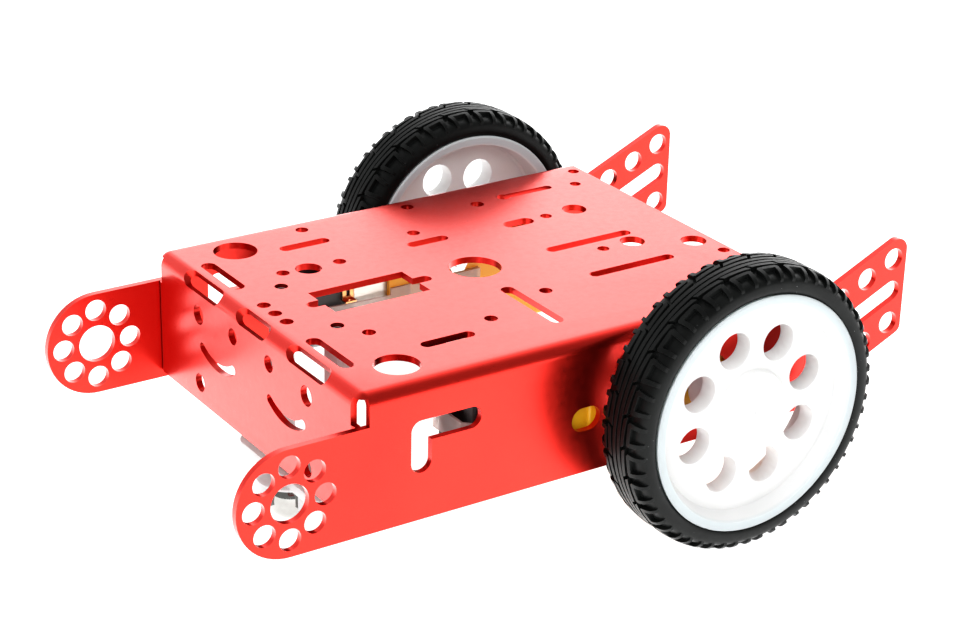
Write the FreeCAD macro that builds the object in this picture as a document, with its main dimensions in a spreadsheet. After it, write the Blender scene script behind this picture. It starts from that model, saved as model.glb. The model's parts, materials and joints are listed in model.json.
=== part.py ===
"""Small two-wheel-drive rover chassis: folded sheet body, two geared motors, two wheels, ball caster.

Millimetres. +X is forward (towards the caster), +Y is the rover's left, +Z is up. The origin is on
the ground under the middle of the overall box. Driving sizes are cells of the sheet "dims". Each
right-hand piece of the drive is a mirror of the left-hand one.
"""
import FreeCAD, Part
import math
import os

import Sketcher

Vector = FreeCAD.Vector
doc = FreeCAD.newDocument("rover_chassis")
sheet = doc.addObject("Spreadsheet::Sheet", "dims")


# ---------------------------------------------------------------- sizes
class Size:
    """A size: its value now, and its expression in terms of the sheet."""

    def __init__(self, value, expr):
        self.value = float(value)
        self.expr = expr

    def __add__(self, other):
        other = as_size(other)
        return Size(self.value + other.value, "(%s + %s)" % (self.expr, other.expr))

    __radd__ = __add__

    def __sub__(self, other):
        other = as_size(other)
        return Size(self.value - other.value, "(%s - %s)" % (self.expr, other.expr))

    def __rsub__(self, other):
        return as_size(other) - self

    def __mul__(self, other):
        other = as_size(other)
        return Size(self.value * other.value, "(%s * %s)" % (self.expr, other.expr))

    __rmul__ = __mul__

    def __truediv__(self, other):
        other = as_size(other)
        return Size(self.value / other.value, "(%s / %s)" % (self.expr, other.expr))

    def __neg__(self):
        return Size(-self.value, "(0 - %s)" % self.expr)


def as_size(number):
    return number if isinstance(number, Size) else Size(number, "(%.6f)" % number)


dim_rows_used = 0


def dim(alias, value):
    """Put one number in the sheet and return it as a size."""
    global dim_rows_used
    dim_rows_used += 1
    sheet.set("A%d" % dim_rows_used, alias)
    sheet.set("B%d" % dim_rows_used, "%.5f" % value)
    sheet.setAlias("B%d" % dim_rows_used, alias)
    return Size(value, "dims." + alias)


def dim_table(prefix, columns, rows):
    """Put a table in the sheet, one cell per number, and return its rows as sizes."""
    return [[dim("%s_%02d_%s" % (prefix, i + 1, column), value)
             for column, value in zip(columns, row)] for i, row in enumerate(rows)]


# Sheet body: deck, side plates and front panel
deck_front = dim("deck_front_x", 58.15)
deck_rear = dim("deck_rear_x", -55.05)
half_w = dim("half_width", 44.9)
sheet_t = dim("sheet_thickness", 1.5)
deck_top = dim("deck_top_z", 49.8)
side_low = dim("side_bottom_z", 18.8)
panel_low = dim("panel_bottom_z", 20.6)
bend_out = dim("bend_outer_radius", 3.0)
bend_in = dim("bend_inner_radius", 1.5)
slit = dim("corner_slit", 0.25)
window_x = dim("corner_window_x", 2.65)
window_y = dim("corner_window_y", 3.1)
window_top = dim("corner_window_top_z", 48.7)
fold_offset = dim("fold_window_offset", 0.42)
fold_r = dim("fold_window_radius", 2.75)
fold_taper = dim("fold_window_taper", 30.0)
servo_rear = dim("servo_x_rear", 16.95)
servo_front = dim("servo_x_front", 40.75)
servo_right = dim("servo_y_right", -5.95)
servo_left = dim("servo_y_left", 5.9)
notch_r = dim("servo_notch_radius", 1.5)

# Front panel openings
panel_outer_y = dim("panel_outer_y", 23.9)
panel_outer_z = dim("panel_outer_z", 41.75)
panel_outer_r = dim("panel_outer_r", 2.3)
panel_inner_y = dim("panel_inner_y", 8.0)
panel_inner_z = dim("panel_inner_z", 42.6)
panel_inner_r = dim("panel_inner_r", 1.9)
panel_low_z = dim("panel_low_z", 25.3)
panel_low_r = dim("panel_low_r", 2.15)
arc_half_w = dim("panel_arc_half_width", 1.1)
arc_r = dim("panel_arc_radius", 13.0)
arc_y = dim("panel_arc_centre_y", 15.3)
arc_z = dim("panel_arc_centre_z", 45.45)
arc_half_angle = dim("panel_arc_half_angle", 33.0)

# Ears at the front of the side plates, arms at the back
ear_x = dim("ear_centre_x", 73.75)
ear_z = dim("ear_centre_z", 30.78)
ear_r = dim("ear_radius", 11.98)
ear_ring_r = dim("ear_ring_radius", 8.09)
ear_hole_r = dim("ear_hole_radius", 2.5)
ear_bore_r = dim("ear_bore_radius", 4.35)
arm_slope = dim("arm_slope", 0.4475)
arm_end = dim("arm_end_x", -85.85)
arm_top_z = dim("arm_top_z", 42.9)
arm_low_x = dim("arm_low_x", -55.9)
arm_tip_r = dim("arm_tip_radius", 3.0)
arm_heel_r = dim("arm_heel_radius", 2.0)
arm_hole_r = dim("arm_hole_radius", 2.6)
arm_hole_x = dim("arm_hole_x", -82.05)
arm_hole_z = dim("arm_hole_z", 50.3)
arm_pitch_x = dim("arm_hole_pitch_x", 7.5)
arm_pitch_z = dim("arm_hole_pitch_z", 3.35)
arm_row = dim("arm_row_spacing", 15.6)
arm_slot_r = dim("arm_slot_radius", 2.45)

# Side plate openings
axle_x = dim("axle_x", -29.24)
axle_z = dim("axle_z", 32.5)
shaft_window_r = dim("shaft_window_radius", 6.8)
bolt_dx = dim("motor_bolt_offset", 20.6)
bolt_dz = dim("motor_bolt_half_spacing", 8.75)
bolt_clear_r = dim("motor_bolt_clearance_radius", 1.6)
oval_x = dim("oval_x", 2.35)
oval_z = dim("oval_z", 31.4)
oval_r = dim("oval_radius", 2.75)
oval_half_run = dim("oval_half_run", 0.9)
ell_w = dim("l_slot_width", 4.9)
ell_front = dim("l_slot_front_x", 45.75)
ell_rear = dim("l_slot_rear_x", 28.85)
ell_top = dim("l_slot_top_z", 41.4)
ell_low = dim("l_slot_low_z", 29.55)
ell_corner_r = dim("l_slot_corner_radius", 2.4)

# Wheel
tyre_r = dim("tyre_radius", 32.5)
tyre_in = dim("tyre_inner_face_y", 49.3)
tyre_out = dim("tyre_outer_face_y", 64.1)
tyre_seat_r = dim("tyre_seat_radius", 26.3)
bead_r = dim("bead_radius", 27.1)
shoulder_r = dim("shoulder_radius", 31.4)
dish_r = dim("dish_radius", 23.4)
disc_out = dim("disc_outer_y", 60.6)
disc_in = dim("disc_inner_y", 56.1)
hub_r = dim("hub_radius", 5.5)
hub_in = dim("hub_inner_y", 46.2)
boss_r = dim("boss_radius", 8.7)
boss_y = dim("boss_face_y", 61.7)
wheel_hole_r = dim("wheel_hole_radius", 4.1)
wheel_ring_r = dim("wheel_ring_radius", 15.45)
wheel_ring_angle = dim("wheel_ring_angle", 25.6)

# Gearbox
motor_y = dim("motor_mid_y", 34.0)
box_half = dim("gearbox_half_thickness", 9.4)
box_front = dim("gearbox_front_x", 0.55)
box_rear = dim("gearbox_rear_x", -40.45)
box_half_z = dim("gearbox_half_height", 11.25)
box_wall = dim("gearbox_wall", 1.4)
box_corner_r = dim("case_corner_radius", 2.4)
box_edge_r = dim("case_edge_radius", 0.9)
box_nose_r = dim("case_nose_radius", 3.05)
sleeve_x = dim("sleeve_front_x", 8.35)
sleeve_r = dim("sleeve_radius", 11.1)
sleeve_flat = dim("sleeve_flat", 8.7)
case_screw_dx = dim("case_screw_offset_x", 7.9)
case_screw_dz = dim("case_screw_offset_z", 8.15)

# Gears, shaft and motor
shaft_r = dim("output_shaft_radius", 2.7)
shaft_flat = dim("shaft_half_flat", 1.85)
run_gap = dim("running_gap", 0.05)
pin_r = dim("gear_pin_radius", 0.8)
idler_x = dim("idler_x", -19.115)
crown_x = dim("crown_x", -10.115)
gear_module = dim("gear_module", 0.45)
crown_module = dim("crown_module", 0.35)
can_r = dim("can_radius", 10.0)
can_flat = dim("can_flat", 7.55)
can_x = dim("can_front_x", 17.15)
can_wall = dim("can_wall", 0.7)
cap_x = dim("endcap_front_x", 28.15)
cap_r = dim("endcap_radius", 9.5)
cap_flat = dim("endcap_flat", 7.1)
cap_edge_r = dim("cap_edge", 1.0)
rotor_r = dim("rotor_radius", 6.2)
strap_t = dim("strap_thickness", 0.6)
strap_half_w = dim("strap_half_width", 2.7)
strap_wide_half = dim("strap_wide_half", 4.4)
hook_half_z = dim("strap_hook_half_height", 5.1)

# Caster
ball_r = dim("ball_radius", 6.0)
ball_x = dim("ball_x", 48.85)
ball_gap = dim("ball_gap", 0.08)
caster_top = dim("caster_plate_top_z", 12.8)
caster_t = dim("caster_plate_thickness", 2.2)
caster_pitch = dim("caster_hole_half_pitch", 12.1)
caster_hole_x = dim("caster_hole_x", 43.9)
cup_r = dim("caster_cup_radius", 7.6)
caster_lip = dim("caster_lip_z", 4.5)
plate_rear = dim("caster_plate_rear_x", 40.1)
plate_front = dim("caster_plate_front_x", 52.6)
plate_half_y = dim("caster_plate_half_length", 19.0)
plate_corner_r = dim("caster_plate_corner_radius", 3.8)
gap_half_w = dim("caster_gap_half_width", 3.6)
caster_hole_r = dim("caster_screw_hole_r", 1.6)

# Fasteners
bolt_r = dim("bolt_radius", 1.5)
bolt_head_r = dim("bolt_head_radius", 2.75)
standoff_flats = dim("standoff_across_flats", 5.5)
nut_t = dim("nut_thickness", 2.4)
nut_flats = dim("nut_across_flats", 5.5)

# Round holes in the deck: x, y, diameter
deck_holes = dim_table("deck_hole", ("x", "y", "dia"), [
    (42.95, -35.04, 10.0), (43.25, 35.02, 10.0), (33.85, -17.84, 6.0), (1.55, 0.0, 12.0),
    (-38.15, -17.94, 5.8), (-38.05, 5.27, 5.8), (-50.45, 12.07, 6.0),
    (39.95, -18.45, 3.0), (39.95, 18.45, 3.0), (43.9, -12.1, 3.0), (43.9, 12.1, 3.0),
    (52.05, -5.0, 3.0), (52.05, 0.0, 3.0), (52.05, 5.0, 3.0),
    (23.8, -38.64, 3.0), (25.85, -17.94, 3.0), (2.65, -24.19, 3.0), (-4.75, -38.84, 3.0),
    (-20.05, -32.14, 3.2), (-29.85, -17.64, 2.8), (-29.65, 5.57, 2.8), (-52.75, -38.94, 2.7),
    (-48.15, -31.64, 2.7), (-52.95, 20.07, 2.8), (-4.55, 18.92, 3.0), (14.0, 25.37, 3.0),
    (-28.05, -33.04, 3.2),
])
# Slots in the deck: x and y of each end centre, width
deck_slots = dim_table("deck_slot", ("xa", "ya", "xb", "yb", "width"), [
    (52.15, -30.2, 52.15, -16.95, 3.4), (52.15, 16.65, 52.15, 29.8, 3.4),
    (32.5, -30.54, 22.8, -30.54, 2.9), (32.7, 29.76, 22.6, 29.76, 2.9),
    (6.45, -18.24, -1.45, -18.24, 2.8), (-29.2, -33.04, -40.85, -33.04, 2.2),
    (-19.7, -17.34, -24.0, -17.34, 3.7), (-19.25, 0.16, -39.65, 0.16, 2.8),
    (-19.3, 16.86, -39.5, 16.86, 2.7), (2.35, 14.4, 2.35, 32.95, 3.2),
])
doc.recompute()

plate_inner_y = half_w - sheet_t    # inner face of a side plate
ear_top = ear_z + ear_r
box_inner_y = motor_y - box_half    # gearbox face towards the rover's middle
caster_low = caster_top - caster_t  # underside of the caster's plate


# ---------------------------------------------------------------- sketching
def origin_feature(body, role):
    return [f for f in body.Origin.OriginFeatures if f.Role == role][0]


class Sketch:
    """One sketch on an origin plane of its body, with every size tied to the sheet."""

    def __init__(self, body, name, role, at=None, angle=None):
        self.obj = body.newObject("Sketcher::SketchObject", name)
        self.obj.AttachmentSupport = [(origin_feature(body, role), "")]
        self.obj.MapMode = "FlatFace"
        if angle is not None:
            turn = FreeCAD.Rotation(Vector(0, 1, 0), angle)
            self.obj.AttachmentOffset = FreeCAD.Placement(Vector(0, 0, 0), turn)
        if at is not None:
            # XZ_Plane faces -Y, so a plane at +y is at a negative offset
            offset = -as_size(at) if role == "XZ_Plane" else as_size(at)
            self.obj.setExpression("AttachmentOffset.Base.z", offset.expr)
        self.constraints = []
        self.expressions = []

    def _bind(self, kind, *args, size, expr=None):
        self.constraints.append(Sketcher.Constraint(kind, *args, size))
        self.expressions.append(expr)

    def _locate(self, geo, point, x, y):
        self._bind("DistanceX", -1, 1, geo, point, size=x.value, expr=x.expr)
        self._bind("DistanceY", -1, 1, geo, point, size=y.value, expr=y.expr)

    def circle(self, x, y, radius):
        x, y, radius = as_size(x), as_size(y), as_size(radius)
        shape = Part.Circle(Vector(x.value, y.value, 0), Vector(0, 0, 1), radius.value)
        geo = self.obj.addGeometry(shape, False)
        self._locate(geo, 3, x, y)
        self._bind("Radius", geo, size=radius.value, expr=radius.expr)
        return self

    def slot(self, xa, ya, xb, yb, radius):
        """A slot with round ends centred on a and b."""
        xa, ya, xb, yb, radius = [as_size(v) for v in (xa, ya, xb, yb, radius)]
        a = Vector(xa.value, ya.value, 0)
        b = Vector(xb.value, yb.value, 0)
        angle = math.atan2(b.y - a.y, b.x - a.x)
        normal = Vector(-math.sin(angle), math.cos(angle), 0) * radius.value
        up = Vector(0, 0, 1)
        quarter = math.pi / 2
        first = self.obj.addGeometry([
            Part.ArcOfCircle(Part.Circle(a, up, radius.value), angle + quarter, angle + 3 * quarter),
            Part.ArcOfCircle(Part.Circle(b, up, radius.value), angle - quarter, angle + quarter),
            Part.LineSegment(a - normal, b - normal),
            Part.LineSegment(b + normal, a + normal)], False)[0]
        loop = (first, first + 2, first + 1, first + 3)
        self.obj.addConstraint([
            Sketcher.Constraint("Tangent", loop[i], 2, loop[(i + 1) % 4], 1) for i in range(4)])
        self._locate(first, 3, xa, ya)
        self._locate(first + 1, 3, xb, yb)
        self._bind("Radius", first, size=radius.value, expr=radius.expr)
        return self

    def poly(self, points):
        """A closed outline. Each entry is (x, y) or (x, y, r): with r, the next edge is an arc of
        that radius, turning anticlockwise for a positive r."""
        corners = [(as_size(p[0]), as_size(p[1]), as_size(p[2]) if len(p) > 2 else None)
                   for p in points]
        count = len(corners)
        edges = []
        for i in range(count):
            ax, ay, radius = corners[i]
            bx, by, _ = corners[(i + 1) % count]
            a = Vector(ax.value, ay.value, 0)
            b = Vector(bx.value, by.value, 0)
            if radius is None:
                edges.append(Part.LineSegment(a, b))
                continue
            r = radius.value
            half = (b - a).Length / 2
            side = Vector(-(b - a).y, (b - a).x, 0).normalize()
            rise = math.sqrt(max(abs(r) ** 2 - half ** 2, 0)) * (1 if r > 0 else -1)
            centre = (a + b) * 0.5 + side * rise
            angles = [math.atan2((p - centre).y, (p - centre).x) for p in (a, b)]
            if r < 0:
                angles.reverse()
            edges.append(Part.ArcOfCircle(Part.Circle(centre, Vector(0, 0, 1), abs(r)), *angles))
        first = self.obj.addGeometry(edges, False)[0]

        # a clockwise arc is stored backwards, so its ends are swapped
        backward = [c[2] is not None and c[2].value < 0 for c in corners]
        joints = []
        for i in range(count):
            j = (i + 1) % count
            joints.append(Sketcher.Constraint("Coincident", first + i, 1 if backward[i] else 2,
                                              first + j, 2 if backward[j] else 1))
        self.obj.addConstraint(joints)
        for i in range(count):
            ax, ay, radius = corners[i]
            bx, by, _ = corners[(i + 1) % count]
            self._locate(first + i, 2 if backward[i] else 1, ax, ay)
            if radius is None:
                continue
            run, rise = bx.value - ax.value, by.value - ay.value
            if math.hypot(run, rise) / 2 < 0.995 * abs(radius.value):
                self._bind("Radius", first + i, size=abs(radius.value),
                           expr="abs(%s)" % radius.expr)
                continue
            # a half circle: its centre is fixed midway between its ends
            if abs(rise) > abs(run):
                kind, middle = "DistanceX", (ax + bx) / 2
            else:
                kind, middle = "DistanceY", (ay + by) / 2
            self._bind(kind, -1, 1, first + i, 3, size=middle.value, expr=middle.expr)
        return self

    def rect(self, x0, y0, x1, y1):
        return self.poly([(x0, y0), (x1, y0), (x1, y1), (x0, y1)])

    def done(self):
        """Add the bound constraints and return the sketch object."""
        ids = self.obj.addConstraint(self.constraints)
        for i, expression in zip(ids, self.expressions):
            self.obj.setExpression("Constraints[%d]" % i, expression)
        return self.obj


def hexagon(corner_r):
    return [(corner_r * math.cos(math.pi / 3 * i), corner_r * math.sin(math.pi / 3 * i))
            for i in range(6)]


# ---------------------------------------------------------------- features
# A pad grows along its plane's normal (+Z, +X, or -Y for XZ_Plane) and a pocket cuts against it;
# reverse swaps the direction.
def new_body(label):
    body = doc.addObject("PartDesign::Body", label)
    body.Label = label
    return body


def pad(body, sketch, length, reverse=False):
    profile = sketch.done()
    feature = body.newObject("PartDesign::Pad", body.Name + "_pad")
    feature.Profile = profile
    feature.setExpression("Length", as_size(length).expr)
    feature.Reversed = reverse
    doc.recompute()
    if feature.Shape.isNull() or not feature.Shape.isValid():
        raise RuntimeError("%s: %s failed" % (body.Label, feature.Name))
    return feature


def pocket(body, sketch, length, reverse=False):
    """Cut, and check that the cut took material."""
    profile = sketch.done()
    before = body.Shape.Volume
    feature = body.newObject("PartDesign::Pocket", body.Name + "_pocket")
    feature.Profile = profile
    feature.setExpression("Length", as_size(length).expr)
    feature.Reversed = reverse
    doc.recompute()
    if body.Shape.Volume >= before:
        raise RuntimeError("%s: %s cut nothing" % (body.Label, feature.Name))
    return feature


def revolve(body, sketch, axis):
    profile = sketch.done()
    feature = body.newObject("PartDesign::Revolution", body.Name + "_revolution")
    feature.Profile = profile
    feature.ReferenceAxis = (origin_feature(body, axis), [""])
    feature.Angle = 360.0
    doc.recompute()


def polar(body, original, axis, count):
    feature = body.newObject("PartDesign::PolarPattern", body.Name + "_pattern")
    feature.Originals = [original]
    feature.Axis = (origin_feature(body, axis), [""])
    feature.Angle = 360
    feature.Occurrences = count
    body.Tip = feature
    doc.recompute()


def fillet(body, radius, pick):
    """Round the edges of the body that pick(edge) accepts."""
    base = body.Tip
    names = ["Edge%d" % (i + 1) for i, edge in enumerate(base.Shape.Edges) if pick(edge)]
    if not names:
        raise RuntimeError("%s: no edge to round" % body.Label)
    feature = body.newObject("PartDesign::Fillet", body.Name + "_fillet")
    feature.Base = (base, names)
    feature.setExpression("Radius", radius.expr)
    doc.recompute()


def cross_recess(body, name, role, at, half_length, half_width, depth, reverse):
    """Two crossed slots in a screw's head."""
    sketch = Sketch(body, name, role, at=at)
    sketch.rect(-half_length, -half_width, half_length, half_width)
    pocket(body, sketch, depth, reverse=reverse)
    sketch = Sketch(body, name + "2", role, at=at)
    sketch.rect(-half_width, -half_length, half_width, half_length)
    pocket(body, sketch, depth, reverse=reverse)


def near(a, b):
    return abs(a - b) < 1e-3


def on_plane(edge, axis, size):
    """Whether every vertex of the edge has this x, y or z."""
    return all(near(getattr(v.Point, axis), size.value) for v in edge.Vertexes)


def place(obj, **position):
    for axis, size in position.items():
        obj.setExpression("Placement.Base." + axis, as_size(size).expr)
    doc.recompute()


def mirrored(source, label, base=Vector(0, 0, 0), normal=Vector(0, 1, 0)):
    """A mirror image, across the rover's middle plane unless told otherwise."""
    mirror = doc.addObject("Part::Mirroring", label)
    mirror.Label = label
    mirror.Source = source
    mirror.Base = base
    mirror.Normal = normal
    doc.recompute()
    return mirror


def compound(label, links):
    group = doc.addObject("Part::Compound", label)
    group.Label = label
    group.Links = links
    doc.recompute()
    return group


parts = {}


def keep_pair(name, left):
    """Keep the left piece and its mirror across the rover's middle plane."""
    parts["left_" + name] = left
    parts["right_" + name] = mirrored(left, "right_" + name)


def keep_axle_pairs(name, upper, lower_label):
    """The same, for a piece doubled across the motor's horizontal middle plane."""
    lower = mirrored(upper, lower_label, Vector(0, 0, axle_z.value), Vector(0, 0, 1))
    lower.setExpression("Base.z", axle_z.expr)
    doc.recompute()
    keep_pair(name, compound("left_" + name, [upper, lower]))


def keep_caster_pair(name, left, right_label):
    """Keep one caster fastener and its mirror as a single piece."""
    place(left, x=caster_hole_x, y=caster_pitch)
    parts[name] = compound(name, [left, mirrored(left, right_label)])


# ---------------------------------------------------------------- folded sheet body
frame = new_body("chassis_frame")
# solid block of the folded part's outer shape
sketch = Sketch(frame, "fr_block", "XY_Plane", at=side_low)
sketch.rect(deck_rear, -half_w, deck_front, half_w)
pad(frame, sketch, deck_top - side_low)


def outer_bend(edge):
    on_top = on_plane(edge, "z", deck_top)
    on_side = on_plane(edge, "y", half_w) or on_plane(edge, "y", -half_w)
    on_front = on_plane(edge, "x", deck_front)
    return (on_top and (on_side or on_front)) or (on_front and on_side)


def inner_bend(edge):
    on_ceiling = on_plane(edge, "z", deck_top - sheet_t)
    on_side = on_plane(edge, "y", plate_inner_y) or on_plane(edge, "y", -plate_inner_y)
    on_front = on_plane(edge, "x", deck_front - sheet_t)
    return on_ceiling and (on_side or on_front)


fillet(frame, bend_out, outer_bend)
# the hollow under the deck, open to the rear and below
sketch = Sketch(frame, "fr_hollow", "XY_Plane", at=side_low)
sketch.rect(deck_rear - 5, -plate_inner_y, deck_front - sheet_t, plate_inner_y)
pocket(frame, sketch, deck_top - side_low - sheet_t, reverse=True)
fillet(frame, bend_in, inner_bend)

# corner windows where the three folds meet, and the slits below them
panel_back = deck_front - sheet_t - 0.5  # just behind the front panel
sketch = Sketch(frame, "fr_windows", "XY_Plane", at=window_top)
for side in (1, -1):
    sketch.rect(deck_front - window_x, side * (half_w - window_y),
                deck_front + 1, side * (half_w + 1))
pocket(frame, sketch, window_top - ear_top)
sketch = Sketch(frame, "fr_slits", "XY_Plane", at=ear_top)
for side in (1, -1):
    sketch.rect(panel_back, side * (plate_inner_y - slit), deck_front + 1, side * plate_inner_y)
pocket(frame, sketch, 30)
# the front panel's lower edge is a little above that of the side plates
sketch = Sketch(frame, "fr_panel_end", "XY_Plane", at=panel_low)
sketch.rect(panel_back, -plate_inner_y, deck_front + 1, plate_inner_y)
pocket(frame, sketch, 5)

# ears at the front and arms at the back, each flush with its side plate
arm_angle = math.atan(arm_slope.value)
arm_stretch = math.sqrt(1 + arm_slope.value ** 2)  # length along the arm per unit of x
tip_tangent = arm_tip_r * math.tan((math.pi / 2 + arm_angle) / 2)
heel_tangent = arm_heel_r * math.tan((math.pi / 2 - arm_angle) / 2)
end_top_z = arm_top_z + arm_slope * (deck_rear - arm_end)
end_low_z = side_low + arm_slope * (arm_low_x - arm_end)
# x, z and, where the next edge is an arc, its radius
plate_outline = [
    (deck_front - 8, ear_top),
    (deck_rear + 2, ear_top),
    (deck_rear + 2, arm_top_z),
    (deck_rear, arm_top_z),
    (arm_end + tip_tangent / arm_stretch,
     end_top_z - tip_tangent * (arm_slope.value / arm_stretch), arm_tip_r),
    (arm_end, end_top_z - tip_tangent),
    (arm_end, end_low_z + heel_tangent, arm_heel_r),
    (arm_end + heel_tangent / arm_stretch,
     end_low_z - heel_tangent * (arm_slope.value / arm_stretch)),
    (arm_low_x, side_low),
    (ear_x, side_low, ear_r),
    (ear_x, ear_top),
]
for name, face_y in (("left", half_w), ("right", -half_w + sheet_t)):
    sketch = Sketch(frame, "fr_plate_" + name, "XZ_Plane", at=face_y).poly(plate_outline)
    pad(frame, sketch, sheet_t)

# tapered windows over the front fold, on a plane tilted midway between deck and panel
fold_windows = [(-28.9, -16.9), (-4.7, 4.4), (17.3, 29.4)]  # y of each window's end centres
sketch = Sketch(frame, "fr_fold_windows", "XY_Plane", angle=45)
for axis, face in (("x", deck_front), ("z", deck_top)):
    sketch.obj.setExpression("AttachmentOffset.Base." + axis, (face - 0.4).expr)
for right_y, left_y in fold_windows:
    sketch.slot(fold_offset, right_y, fold_offset, left_y, fold_r)
fold_cut = pocket(frame, sketch, 3.9)
fold_cut.setExpression("TaperAngle", (-fold_taper).expr)
doc.recompute()
if not fold_cut.Shape.isValid():
    raise RuntimeError("fold windows failed")

# deck openings; each cut starts 1 mm outside the sheet and ends 1 mm past it
above_deck = deck_top + 1
through_sheet = sheet_t + 2
sketch = Sketch(frame, "fr_deck_holes", "XY_Plane", at=above_deck)
for x, y, diameter in deck_holes:
    sketch.circle(x, y, diameter / 2)
pocket(frame, sketch, through_sheet)
sketch = Sketch(frame, "fr_deck_slots", "XY_Plane", at=above_deck)
for xa, ya, xb, yb, width in deck_slots:
    sketch.slot(xa, ya, xb, yb, width / 2)
pocket(frame, sketch, through_sheet)
# opening for a micro servo, with a screw notch at each end
sketch = Sketch(frame, "fr_servo", "XY_Plane", at=above_deck)
sketch.rect(servo_rear, servo_right, servo_front, servo_left)
pocket(frame, sketch, through_sheet)
sketch = Sketch(frame, "fr_servo_notches", "XY_Plane", at=above_deck)
sketch.slot(servo_front - 2, 0.0, servo_front + 2, 0.0, notch_r)
sketch.slot(servo_rear - 2.3, 0.0, servo_rear + 2, 0.0, notch_r)
pocket(frame, sketch, through_sheet)

# front panel: six round holes and two curved slots
sketch = Sketch(frame, "fr_panel_holes", "YZ_Plane", at=deck_front + 1)
for side in (1, -1):
    sketch.circle(side * panel_outer_y, panel_outer_z, panel_outer_r)
    sketch.circle(side * panel_inner_y, panel_inner_z, panel_inner_r)
    sketch.circle(side * panel_outer_y, panel_low_z, panel_low_r)
pocket(frame, sketch, through_sheet)
sketch = Sketch(frame, "fr_panel_arcs", "YZ_Plane", at=deck_front + 1)
arc_sin = math.sin(math.radians(arc_half_angle.value))
arc_cos = math.cos(math.radians(arc_half_angle.value))
large_r = arc_r + arc_half_w
small_r = arc_r - arc_half_w
for side in (1, -1):
    centre_y = side * arc_y
    sketch.poly([
        (centre_y - large_r * arc_sin, arc_z - large_r * arc_cos, large_r),
        (centre_y + large_r * arc_sin, arc_z - large_r * arc_cos, arc_half_w),
        (centre_y + small_r * arc_sin, arc_z - small_r * arc_cos, -small_r),
        (centre_y - small_r * arc_sin, arc_z - small_r * arc_cos, arc_half_w)])
pocket(frame, sketch, through_sheet)

# openings in both side plates alike, cut right across the rover
beside_frame = half_w + 5
across_frame = 2 * half_w + 10
sketch = Sketch(frame, "fr_side_holes", "XZ_Plane", at=beside_frame)
sketch.circle(ear_x, ear_z, ear_bore_r)
for i in range(8):
    angle = i * math.pi / 4
    sketch.circle(ear_x + ear_ring_r * math.cos(angle), ear_z + ear_ring_r * math.sin(angle),
                  ear_hole_r)
sketch.circle(axle_x, axle_z, shaft_window_r)
for side in (1, -1):
    sketch.circle(axle_x + bolt_dx, axle_z + side * bolt_dz, bolt_clear_r)
for i in range(3):
    sketch.circle(arm_hole_x + arm_pitch_x * i, arm_hole_z - arm_pitch_z * i, arm_hole_r)
    sketch.circle(arm_hole_x + arm_pitch_x * i, arm_hole_z - arm_row - arm_pitch_z * i, arm_hole_r)
pocket(frame, sketch, across_frame, reverse=True)
# an oval, and a slot between the arm's two rows of holes
sketch = Sketch(frame, "fr_side_slots", "XZ_Plane", at=beside_frame)
sketch.slot(oval_x - oval_half_run, oval_z, oval_x + oval_half_run, oval_z, oval_r)
slot_z = arm_hole_z - arm_row / 2
sketch.slot(arm_hole_x, slot_z, arm_hole_x + 2 * arm_pitch_x, slot_z - 2 * arm_pitch_z, arm_slot_r)
pocket(frame, sketch, across_frame, reverse=True)
# L slot: one leg runs rearward, the other down
sketch = Sketch(frame, "fr_l_slot", "XZ_Plane", at=beside_frame)
ell_end_r = ell_w / 2
sketch.poly([
    (ell_front - ell_w, ell_low + ell_end_r, ell_end_r),
    (ell_front, ell_low + ell_end_r),
    (ell_front, ell_top - ell_corner_r, ell_corner_r),
    (ell_front - ell_corner_r, ell_top),
    (ell_rear + ell_end_r, ell_top, ell_end_r),
    (ell_rear + ell_end_r, ell_top - ell_w),
    (ell_front - ell_w, ell_top - ell_w)])
pocket(frame, sketch, across_frame, reverse=True)
parts["chassis_frame"] = frame


# ---------------------------------------------------------------- ball caster
housing = new_body("caster_housing")
sketch = Sketch(housing, "cu_plate", "XY_Plane", at=caster_low)
sketch.poly([
    (plate_rear + plate_corner_r, -plate_half_y),
    (plate_front - plate_corner_r, -plate_half_y, plate_corner_r),
    (plate_front, -plate_half_y + plate_corner_r),
    (plate_front, plate_half_y - plate_corner_r, plate_corner_r),
    (plate_front - plate_corner_r, plate_half_y),
    (plate_rear + plate_corner_r, plate_half_y, plate_corner_r),
    (plate_rear, plate_half_y - plate_corner_r),
    (plate_rear, -plate_half_y + plate_corner_r, plate_corner_r)])
pad(housing, sketch, caster_t)
sketch = Sketch(housing, "cu_cup", "XY_Plane", at=caster_lip).circle(ball_x, 0.0, cup_r)
pad(housing, sketch, caster_low - caster_lip)

# two crossed diagonal channels leave four claws that hold the ball below its middle
channel_half = 12
far = (channel_half + gap_half_w) * 0.70711   # corner offsets, turned 45 degrees
close = (channel_half - gap_half_w) * 0.70711
for name, corners in (
        ("cu_gaps", [(-close, -far), (far, close), (close, far), (-far, -close)]),
        ("cu_gaps2", [(close, -far), (far, -close), (-close, far), (-far, close)])):
    sketch = Sketch(housing, name, "XY_Plane", at=caster_lip - 1)
    sketch.poly([(ball_x + x, y) for x, y in corners])
    pocket(housing, sketch, caster_low - caster_lip + 0.5, reverse=True)
sketch = Sketch(housing, "cu_holes", "XY_Plane", at=caster_top + 1)
for side in (1, -1):
    sketch.circle(caster_hole_x, side * caster_pitch, caster_hole_r)
pocket(housing, sketch, caster_t + 2)

# spherical seat, a little larger than the ball
seat = doc.addObject("Part::Sphere", "ball_seat")
seat.setExpression("Radius", (ball_r + ball_gap).expr)
place(seat, x=ball_x, y=0.0, z=ball_r)
housing_cut = doc.addObject("Part::Cut", "caster_housing_cut")
housing_cut.Base = housing
housing_cut.Tool = seat
doc.recompute()
parts["caster_housing"] = housing_cut

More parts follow.
